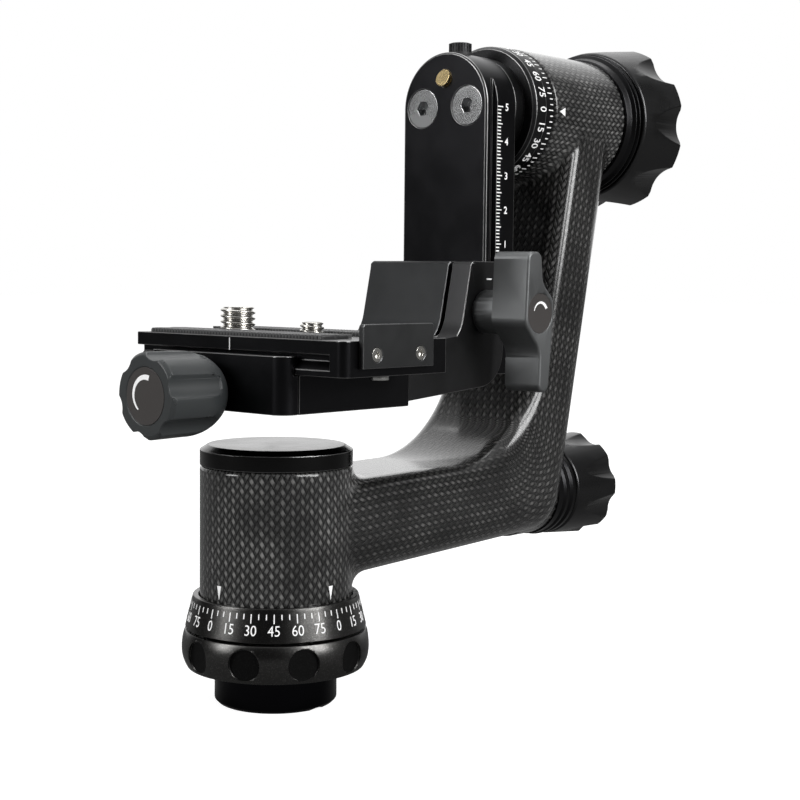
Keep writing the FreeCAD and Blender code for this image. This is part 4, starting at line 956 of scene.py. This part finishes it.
shellParts = {  # node: edge width, finish, slot, finish of the edges
    "mounting_spigot": (0.25, "glossBlack", "gloss_black", None),
    "grip_ring": (0.16, "blastedBlack", "blasted_black", None),
    "pan_dial": (0.20, "blastedBlack", "blasted_black", None),
    "column_cap": (0.15, "capBlack", "smooth_black", "edgeBlack"),
    "lock_collar": (0.12, "collarBlack", "smooth_black", None),
    "pan_knob": (0.30, "knobBlack", "knob_black", None),
    "tilt_shaft": (0.15, "satinBlack", "satin_grey", "edgeBlack"),
    "tilt_dial": (0.14, "satinBlack", "blasted_black", "edgeBlack"),
    "tilt_collar": (0.14, "collarBlack", "smooth_black", None),
    "tilt_knob": (0.30, "knobBlack", "knob_black", None),
    "swing_arm": (0.20, "smoothBlack", "smooth_black", "edgeBlack"),
    "arm_screws": (0.15, "zinc", "zinc", None),
    "stop_pin": (0.12, "brass", "brass", None),
    "stop_button": (0.15, "rubber", "smooth_black", None),
    "low_stop_screw": (0.10, "zinc", "zinc", None),
    "riser_body": (0.22, "satinGrey", "satin_grey", "edgeGrey"),
    "riser_jaw": (0.22, "jawBlack", "satin_grey", "edgeBlack"),
    "wing_lever": (0.0, "leverGrey", "satin_grey", None),
    "lever_label": (0.08, "label", "label", None),
    "clamp_body": (0.22, "smoothBlack", "smooth_black", "edgeBlack"),
    "clamp_jaw": (0.22, "smoothBlack", "smooth_black", "edgeBlack"),
    "clamp_knob": (0.25, "clampKnob", "knob_black", None),
    "clamp_label": (0.08, "label", "label", None),
    "camera_plate": (0.20, "smoothBlack", "smooth_black", "edgeBlack"),
    "plate_pad_front": (0.10, "rubber", "rubber", None),
    "plate_pad_rear": (0.10, "rubber", "rubber", None),
    "plate_stops": (0.12, "steel", "steel", None),
    "stop_bracket": (0.20, "bracketGrey", "satin_grey", "edgeGrey"),
    "bracket_screws": (0.08, "nickel", "steel", None),
    "base_screws": (0.12, "steel", "steel", None),
    "clamp_fixing_screws": (0.0, "steel", "steel", None),
}
# the riser's front leans back a little and meets the leg in a small hollow
riserFront = {
    "wallX": 59.5, "topZ": 119.2, "legZ": 94.7, "hollow": 24.0,
    "newX": 57.9, "lean": 0.22, "newHollow": 11.0,
    "hollowReach": 0.45, "wallReach": 1.4, "slack": 0.02,
}
leverNeck = {"x": 64.4, "z": 104.7, "radius": 5.3, "newRadius": 6.3, "from": -27.05, "inside": 1.0, "outside": 0.4}
buttonRibs = {
    "x": 75.0, "radius": 3.4, "slim": 0.95, "slimBelow": 0.6, "slimInside": 1.0, "collar": 180.7, "short": 0.85,
    "count": 22, "from": 181.3, "top": 183.8, "width": 0.42, "out": 0.2, "shortest": 1.0,
}
gripDimples = {
    "count": 10, "first": 27.0, "radius": 4.2, "level": 14.85, "flatAt": 24.35,
    "outFrom": 20.0, "rim": 0.05, "upright": 0.3,
}


def onArc(centre, radius, away):
    return centre + math.sqrt(max(radius ** 2 - away ** 2, 0.0))


def leanFront(mesh):
    look = riserFront
    size = math.hypot(1.0, look["lean"])
    centreZ = look["legZ"] + look["newHollow"]
    centreX = look["newX"] - look["lean"] * (look["topZ"] - centreZ) - look["newHollow"] * size
    bendZ = centreZ - look["newHollow"] * look["lean"] / size
    oldZ = look["legZ"] + look["hollow"]
    oldX = look["wallX"] - look["hollow"]
    for vertex in mesh.vertices:
        x, z = vertex.co.x / mm, vertex.co.z / mm
        if z < look["legZ"] - look["slack"]:
            continue
        was = look["wallX"] if z > oldZ else onArc(oldX, look["hollow"], oldZ - z)
        now = look["newX"] - look["lean"] * (look["topZ"] - z)
        if z <= bendZ:
            now = onArc(centreX, look["newHollow"], centreZ - z)
        if abs(x - was) < (look["hollowReach"] if z < oldZ else look["wallReach"]):
            vertex.co.x = (x + now - was) * mm
    mesh.update()


def widenNeck(mesh):
    look = leverNeck
    for vertex in mesh.vertices:
        x, y, z = vertex.co.x / mm - look["x"], vertex.co.y / mm, vertex.co.z / mm - look["z"]
        out = math.hypot(x, z)
        if y > look["from"] and look["radius"] - look["inside"] < out < look["radius"] + look["outside"]:
            grow = (out + look["newRadius"] - look["radius"]) / out
            vertex.co.x, vertex.co.z = (look["x"] + x * grow) * mm, (look["z"] + z * grow) * mm
    mesh.update()


def slimButton(mesh):
    look = buttonRibs
    for vertex in mesh.vertices:
        x, y, z = vertex.co.x / mm - look["x"], vertex.co.y / mm, vertex.co.z / mm
        if z > look["from"] - look["slimBelow"] and math.hypot(x, y) > look["radius"] - look["slimInside"]:
            vertex.co.x, vertex.co.y = (look["x"] + x * look["slim"]) * mm, y * look["slim"] * mm
        if z > look["collar"]:
            vertex.co.z = (look["collar"] + (z - look["collar"]) * look["short"]) * mm
    mesh.update()


# faces inside the grip ring's dimples get the darker finish: painted shade in the hollows
def paintDimples(mesh):
    look = gripDimples
    mesh.materials.append(finish["dimplePaintedShade"])
    step = math.tau / look["count"]
    for face in mesh.polygons:
        x, y, z = (c / mm for c in face.center)
        turn = (math.atan2(y, x) - math.radians(look["first"]) + step / 2) % step - step / 2
        out, side = math.hypot(x, y) * math.cos(turn), math.hypot(x, y) * math.sin(turn)
        inRing = math.hypot(side, z - look["level"]) < look["radius"] - look["rim"]
        if look["outFrom"] < out < look["flatAt"] and inRing and abs(face.normal.z) < look["upright"]:
            face.material_index = 1


reshaped = {"riser_body": leanFront, "riser_jaw": leanFront, "wing_lever": widenNeck, "stop_button": slimButton}
shells = {}
for node, (width, look, slotName, edgeLook) in shellParts.items():
    shells[node] = softened(
        node, width, look, dissolve=node != "wing_lever", shift=reshaped.get(node), edge=edgeLook)
paintDimples(shells["grip_ring"].data)
print("metal shells:", len(shellParts))

plainParts = {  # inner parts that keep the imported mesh
    "innerAluminium": ["pan_spindle", "spindle_nut", "column_liner", "tilt_liner", "lock_bush", "tilt_knob_insert"],
    "steel": ["pan_bearing_low", "pan_bearing_high", "tilt_bearing_inner", "tilt_bearing_outer", "push_rod",
              "pan_lock_screw", "button_spring", "jaw_pins", "lever_screw", "guide_pins", "clamp_screw", "thread_bush"],
    "polymer": ["drag_washer"],
    "brass": ["brake_shoe"],
}
for look, names in plainParts.items():
    for name in names:
        obj = cad[name]
        obj.data.materials.clear()
        obj.data.materials.append(finish[look])
        smoothByAngle(obj, 30.0)


# camera screws, rubber ribs and the button's grip

cameraScrews = {
    "camera_screw_large": {
        "y": 15.4, "crest": 4.76, "root": 3.95, "from": 99.2, "to": 105.9, "pitch": 1.5875, "rings": 56},
    "camera_screw_small": {
        "y": -13.1, "crest": 3.17, "root": 2.55, "from": 99.2, "to": 102.5, "pitch": 1.27, "rings": 34},
}
screwThread = {"sides": 40, "point": 0.5, "coreUnder": 0.3, "slack": 0.05, "sharpAbove": 60.0}
padRibs = {
    "x": (5.75, 17.45), "y": (-32.6, 32.2), "low": 99.05, "top": 100.1, "rows": 4, "lean": 32.0,
    "pitch": 1.15, "width": 0.60, "overlap": 1.10, "firstAt": 0.6, "never": 1000,
}


def joinPieces(pieces, name):
    keep = pieces[0]
    mesh = bpy.data.meshes.new(name)
    for material in keep.data.materials:
        mesh.materials.append(material)
    build = bmesh.new()
    for piece in pieces:
        build.from_mesh(piece.data)
    build.to_mesh(mesh)
    build.free()
    for piece in pieces[1:]:
        bpy.data.objects.remove(piece)
    keep.data = mesh
    keep.name = name
    return keep


def slimCore(mesh, look):
    radius = look["root"] - screwThread["coreUnder"]
    for vertex in mesh.vertices:
        x, y, z = vertex.co.x / mm, vertex.co.y / mm - look["y"], vertex.co.z / mm
        out = math.hypot(x, y)
        if z > look["from"] - screwThread["slack"] and out > radius:
            share = radius / out
            vertex.co.x, vertex.co.y = x * share * mm, (y * share + look["y"]) * mm


def buildCameraScrews():
    for node, look in cameraScrews.items():
        core = softened(node, 0.0, "nickel")
        slimCore(core.data, look)
        core.name = pieceName(node, "Core")
        thread = runTree(
            pieceName(node, "Thread"), threadTree, {"Sides": screwThread["sides"], "Rings": look["rings"]}, {
                "Crest": look["crest"], "Root": look["root"], "Length": look["to"] - look["from"],
                "Pitch": look["pitch"], "Point": screwThread["point"],
                "Place": (0, look["y"], 0.5 * (look["from"] + look["to"]))}, "nickel")
        smoothByAngle(thread, screwThread["sharpAbove"])
        placePiece(thread, bodyOf[node], None)


def buildPadRibs():
    look = padRibs
    rowStep = (look["x"][1] - look["x"][0]) / look["rows"]
    count = int((look["y"][1] - look["y"][0]) / look["pitch"])
    for node in ("plate_pad_front", "plate_pad_rear"):
        side = 1 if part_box(node)[0][0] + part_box(node)[1][0] > 0 else -1
        rows = []
        for row in range(look["rows"]):
            x = side * (look["x"][0] + (row + 0.5) * rowStep)
            lean = math.radians(look["lean"]) * (1 if row % 2 else -1)
            # ribs take the lighter rubber: painted light on the rib tops
            rows.append(runTree("ribRow", rowTree, {
                "Count": count, "Turn": Vector((0, 0, lean)),
                "Grow Every": look["never"], "Grow More Every": look["never"]}, {
                "Start": (x, look["y"][0] + look["firstAt"], (look["low"] + look["top"]) / 2),
                "Step": (0, look["pitch"], 0),
                "Size": (rowStep * look["overlap"], look["width"], look["top"] - look["low"])}, "ribRubberPaintedLit"))
        placePiece(joinPieces(rows, pieceName(node, "Ribs")), bodyOf[node], None)


def buildButtonRibs():
    look = buttonRibs
    ribs = runTree("buttonRibs", ringTicksTree, {"Count": look["count"], "Long Every": 1, "Slope": 0.0}, {
        "Radius": look["radius"] - look["out"] / 2, "Top": look["top"], "Short Length": look["shortest"],
        "Long Length": look["top"] - look["from"], "Width": look["width"], "Thickness": look["out"]}, "satinGrey")
    ribs.data.transform(Matrix.Translation((look["x"] * mm, 0, 0)))
    placePiece(ribs, bodyOf["stop_button"], None)


buildCameraScrews()
buildPadRibs()
buildButtonRibs()
print("threads and ribs done")


# dial markings

dialScale = {"ticks": 72, "longEvery": 3, "tickLift": 0.01, "numerals": 24, "step": 15, "repeatAfter": 6}
panDialMarks = {
    "coneLow": 20.7, "radiusLow": 24.4, "coneTop": 28.4, "radiusTop": 22.5, "start": -180,
    "tickTop": 27.95, "shortTick": 1.4, "longTick": 2.4, "tickWidth": 0.27, "tickThickness": 0.12,
    "numeralLevel": 23.85, "height": 2.6, "squeeze": 0.90, "weight": -0.004, "depth": 0.10, "lift": 0.03,
}
tiltDialMarks = {
    "coneFrom": 87.3, "coneTo": 91.6, "coneRadius": 19.7, "radius": 19.9, "bandRadius": 19.65, "start": 180,
    "tickTop": 95.3, "shortTick": 1.3, "longTick": 2.1, "tickWidth": 0.30, "tickThickness": 0.12,
    "numeralLevel": 90.25, "height": 2.7, "squeeze": 0.90, "weight": 0.004, "depth": 0.10, "lift": 0.03,
}


def panDialRadius(z):
    look = panDialMarks
    share = (z - look["coneLow"]) / (look["coneTop"] - look["coneLow"])
    return look["radiusLow"] + share * (look["radiusTop"] - look["radiusLow"])


def tiltDialRadius(x):
    look = tiltDialMarks
    share = min(max((x - look["coneFrom"]) / (look["coneTo"] - look["coneFrom"]), 0.0), 1.0)
    return look["coneRadius"] + share * (look["radius"] - look["coneRadius"])


def buildDialMarks(name, look, radiusAt, tickRadius, slope, matrix, body):
    scale = dialScale

    def wrap(x, y, z, angle, level):
        surface = radiusAt(level + y)
        turn = math.radians(angle) + x / surface
        r = surface + look["lift"] + z
        return r * math.cos(turn), r * math.sin(turn), level + y

    ticks = runTree(name + "Ticks", ringTicksTree, {
        "Count": scale["ticks"], "Long Every": scale["longEvery"], "Slope": slope}, {
        "Radius": tickRadius + scale["tickLift"], "Top": look["tickTop"], "Short Length": look["shortTick"],
        "Long Length": look["longTick"], "Width": look["tickWidth"], "Thickness": look["tickThickness"]}, "white")
    ticks.data.transform(matrix)
    placePiece(ticks, body, None)
    words = [(str(scale["step"] * (k % scale["repeatAfter"])), look["start"] + scale["step"] * k, look["numeralLevel"])
             for k in range(scale["numerals"])]
    numerals = shapeNumerals(name + "Numerals", words, look, wrap)
    numerals.data.transform(matrix)
    placePiece(numerals, body, "white")


coneSlope = math.atan2(
    panDialMarks["radiusLow"] - panDialMarks["radiusTop"], panDialMarks["coneTop"] - panDialMarks["coneLow"])
buildDialMarks(
    "panDial", panDialMarks, panDialRadius, panDialRadius(panDialMarks["tickTop"]), coneSlope, panAxis, "base")
buildDialMarks("tiltDial", tiltDialMarks, tiltDialRadius, tiltDialMarks["bandRadius"], 0.0, tiltAxis, "swing")


# pointers

pointers = {
    "column": {"tip": 30.1, "base": 33.8, "width": 1.5, "radius": carbonFrame["columnRadius"], "matrix": panAxis},
    "housing": {"tip": 98.3, "base": 101.1, "width": 2.6, "radius": carbonFrame["housingRadius"], "matrix": tiltAxis},
}
pointerShape = {"steps": 4, "tipHalf": 0.02, "sunk": -0.05, "raised": 0.06}


def wrappedTriangle(name, look, angle):
    shape = pointerShape
    points, faces = [], []
    for k in range(shape["steps"] + 1):
        t = k / shape["steps"]
        level = look["tip"] + (look["base"] - look["tip"]) * t
        half = max(0.5 * look["width"] * t, shape["tipHalf"])
        for side in (-1, 1):
            turn = math.radians(angle) + side * half / look["radius"]
            for lift in (shape["sunk"], shape["raised"]):
                out = look["radius"] + lift
                points.append((out * math.cos(turn), out * math.sin(turn), level))
    for k in range(shape["steps"]):
        a, b = 4 * k, 4 * k + 4
        faces += [(a + 1, a + 3, b + 3, b + 1), (a, b, b + 2, a + 2),
                  (a, a + 1, b + 1, b), (a + 2, b + 2, b + 3, a + 3)]
    faces += [(0, 2, 3, 1), (b, b + 1, b + 3, b + 2)]
    obj = shapeMesh(name, points, faces)
    faceOutwards(obj)
    obj.data.transform(look["matrix"])
    placePiece(obj, "frame", "white")


wrappedTriangle("columnPointerLeft", pointers["column"], -180)
wrappedTriangle("columnPointerRight", pointers["column"], -90)
wrappedTriangle("housingPointer", pointers["housing"], 180)


# height ruler

heightRuler = {
    "zero": 114.4, "edgeY": -16.0, "from": 73.15, "length": 1.6, "growFive": 0.7, "growTen": 0.15, "width": 0.33,
    "ticks": 51, "tickStep": 1.0, "numbers": 6, "numberStep": 10,
    "numeralX": 77.5, "height": 2.15, "squeeze": 1.08, "weight": 0.014, "depth": 0.08,
}


def buildHeightRuler():
    look = heightRuler
    ticks = runTree("rulerTicks", rowTree, {"Count": look["ticks"], "Grow Every": 5, "Grow More Every": 10}, {
        "Start": (look["from"] + look["length"] / 2, look["edgeY"], look["zero"]),
        "Step": (0, 0, look["tickStep"]), "Size": (look["length"], look["depth"], look["width"]),
        "Grow": (look["growFive"], 0, 0), "Grow More": (look["growTen"], 0, 0)}, "white")
    placePiece(ticks, "swing", None)

    def onEdge(x, y, z, level):
        return look["numeralX"] + x, look["edgeY"] - z, level + y

    words = [(str(k), look["zero"] + look["numberStep"] * k) for k in range(look["numbers"])]
    placePiece(shapeNumerals("rulerNumerals", words, look, onEdge), "swing", "white")


buildHeightRuler()


# index lines and the arcs on the labels

indexLines = {  # node, lowest corner, highest corner
    "plateIndex": ("camera_plate", (-19.06, -2.36, 95.4), (-18.9, -2.06, 98.6)),
    "riserIndex": ("riser_jaw", (64.6, -19.58, 113.9), (66.9, -19.4, 114.3)),
}
labelArcs = {  # node, the axis it faces along, inner radius, first and last angle, width at either end
    "clampArc": {
        "node": "clamp_label", "axis": 0, "inner": 4.1, "from": 72.0, "to": 232.0, "thick": 1.35, "thin": 0.45},
    "leverArc": {
        "node": "lever_label", "axis": 1, "inner": 2.7, "from": 25.0, "to": 165.0, "thick": 0.95, "thin": 0.25},
}
arcShape = {"steps": 28, "raised": -0.05}


def buildIndexLines():
    faces = [(0, 1, 3, 2), (4, 6, 7, 5), (0, 4, 5, 1), (2, 3, 7, 6), (0, 2, 6, 4), (1, 5, 7, 3)]
    for name, (node, low, high) in indexLines.items():
        points = [(x, y, z) for x in (low[0], high[0]) for y in (low[1], high[1]) for z in (low[2], high[2])]
        placePiece(shapeMesh(name, points, faces), bodyOf[node], "white")


def buildLabelArcs():
    steps = arcShape["steps"]
    for name, look in labelArcs.items():
        low, high = (np.array(c[:]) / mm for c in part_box(look["node"]))
        centre = 0.5 * (low + high)
        face = low[look["axis"]]
        flat = []
        for k in range(steps + 1):
            t = k / steps
            turn = math.radians(look["from"] + t * (look["to"] - look["from"]))
            width = look["thick"] + (look["thin"] - look["thick"]) * t
            for reach in (look["inner"], look["inner"] + width):
                flat.append((reach * math.cos(turn), reach * math.sin(turn)))
        points = []
        for depth in (0.0, arcShape["raised"]):
            for across, up in flat:
                side = (face + depth, centre[1] - across) if look["axis"] == 0 else (centre[0] + across, face + depth)
                points.append((*side, centre[2] + up))
        half = len(flat)
        faces = []
        for k in range(steps):
            a, b, c, d = (2 * k + i for i in range(4))
            faces += [(a, b, d, c), (a + half, c + half, d + half, b + half),
                      (a, c, c + half, a + half), (b, b + half, d + half, d)]
        faces += [(0, half, half + 1, 1), (half - 2, half - 1, 2 * half - 1, 2 * half - 2)]
        obj = shapeMesh(name, points, faces)
        faceOutwards(obj)
        placePiece(obj, bodyOf[look["node"]], "white")


buildIndexLines()
buildLabelArcs()
print("markings done")


# camera, light and floor

studio = {
    "eye": (-292.1, -304.2, 114.9), "heading": 48.32, "pitch": 4.52, "roll": 0.58, "lens": 70.9,
    "lampAim": (45, 0, 95), "ambient": 0.46, "dark": 0.012,
    "floorReach": 6000, "floorColor": 0.42, "floorMirror": 0.16, "floorGlow": 0.82, "floorRoughness": 0.8,
}
lamps = {  # heading from the camera (negative on its right), rise, distance, width, height, power
    "softboxEast": (-60, 26, 1.3, 0.36, 0.80, 10.5),
    "softboxSouth": (-42, 30, 1.3, 0.20, 0.80, 5.5),
    "softboxNorth": (64, 26, 1.3, 0.36, 0.80, 9.5),
    "softboxTop": (175, 68, 1.5, 1.2, 0.8, 8),
}
mirrored = {  # what shiny parts see: from, to, strength
    "backdrop": (0.45, 0.82, 0.9), "backdropMiddle": (0.80, 1.0, 0.3),
    "above": (0.55, 0.95, 0.8), "rightSide": (0.25, 0.9, 0.12), "leastLevel": 0.0001,
}


def buildCamera():
    look = studio
    az, pitch, roll = (math.radians(look[k]) for k in ("heading", "pitch", "roll"))
    ahead = Vector((math.sin(az) * math.cos(pitch), math.cos(az) * math.cos(pitch), -math.sin(pitch)))
    right = Vector((math.cos(az), -math.sin(az), 0))
    up = right.cross(ahead)
    turnedRight = right * math.cos(roll) + up * math.sin(roll)
    turnedUp = -right * math.sin(roll) + up * math.cos(roll)
    camera = bpy.data.cameras.new("studioCamera")
    camera.lens = look["lens"]
    camera.sensor_width = 36.0
    camera.clip_start = 0.01
    obj = linkObject("studioCamera", camera)
    obj.matrix_world = axisMatrix((turnedRight, turnedUp, -ahead), look["eye"])
    bpy.context.scene.camera = obj


def areaLight(name, heading, rise, distance, width, height, power):
    lamp = bpy.data.lights.new(name, "AREA")
    lamp.shape = "RECTANGLE"
    lamp.size = width
    lamp.size_y = height
    lamp.energy = power
    obj = linkObject(name, lamp)
    turn = math.radians(studio["heading"] + 180 + heading)
    lift = math.radians(rise)
    out = Vector((math.sin(turn) * math.cos(lift), math.cos(turn) * math.cos(lift), math.sin(lift)))
    obj.location = Vector(studio["lampAim"]) * mm + out * distance
    obj.rotation_euler = out.to_track_quat("Z", "Y").to_euler()
    obj.visible_camera = False


def buildWorld():
    look = studio
    world = bpy.data.worlds.new("studioWorld")
    bpy.context.scene.world = world
    world.use_nodes = True
    tree = world.node_tree
    tree.nodes.clear()

    def glow(value, name):
        low, high, strength = mirrored[name]
        return times(tree, ramp(tree, value, low, high), strength)

    az = math.radians(look["heading"])
    x, y, z = splitXYZ(tree, addNode(tree, "ShaderNodeTexCoord").outputs["Generated"])
    ahead = plus(tree, times(tree, x, math.sin(az)), times(tree, y, math.cos(az)))
    right = minus(tree, times(tree, x, math.cos(az)), times(tree, y, math.sin(az)))
    level = calc(tree, "MAXIMUM", minus(tree, 1.0, times(tree, z, z)), mirrored["leastLevel"])
    facing = calc(tree, "DIVIDE", ahead, calc(tree, "SQRT", level))
    backdrop = plus(tree, glow(facing, "backdrop"), glow(facing, "backdropMiddle"))
    backdrop = calc(tree, "MAXIMUM", backdrop, glow(z, "above"))
    shine = calc(tree, "MAXIMUM", backdrop, plus(tree, glow(right, "rightSide"), look["dark"]))
    path = addNode(tree, "ShaderNodeLightPath").outputs
    seen = calc(tree, "MAXIMUM", path["Is Camera Ray"], path["Is Transmission Ray"])
    strength = calc(tree, "MAXIMUM", mix(tree, path["Is Glossy Ray"], look["ambient"], shine), seen)
    background = addNode(tree, "ShaderNodeBackground", {"Color": (1, 1, 1, 1), "Strength": strength})
    addNode(tree, "ShaderNodeOutputWorld", {"Surface": background.outputs[0]})


def buildFloor():
    look = studio
    corners = [(x * look["floorReach"], y * look["floorReach"], 0) for x, y in ((-1, -1), (1, -1), (1, 1), (-1, 1))]
    obj = shapeMesh("floor", corners, [(0, 1, 2, 3)])
    material, tree, shader = startMaterial("floorWhite")
    path = addNode(tree, "ShaderNodeLightPath").outputs
    seen, mirror = ((look[key],) * 3 + (1,) for key in ("floorColor", "floorMirror"))
    feed(tree, shader.inputs["Base Color"], mix(tree, path["Is Glossy Ray"], seen, mirror, "RGBA"))
    shader.inputs["Roughness"].default_value = look["floorRoughness"]
    shader.inputs["Specular IOR Level"].default_value = 0.0
    strength = times(tree, path["Is Camera Ray"], look["floorGlow"])
    glow = addNode(tree, "ShaderNodeEmission", {"Color": (1, 1, 1, 1), "Strength": strength})
    total = addNode(tree, "ShaderNodeAddShader", {0: shader.outputs[0], 1: glow.outputs[0]})
    feed(tree, tree.nodes["Material Output"].inputs["Surface"], total.outputs[0])
    obj.data.materials.append(material)


buildCamera()
buildWorld()
buildFloor()
for name, values in lamps.items():
    areaLight(name, *values)
bpy.context.scene.view_settings.view_transform = "Standard"
print("studio ready")
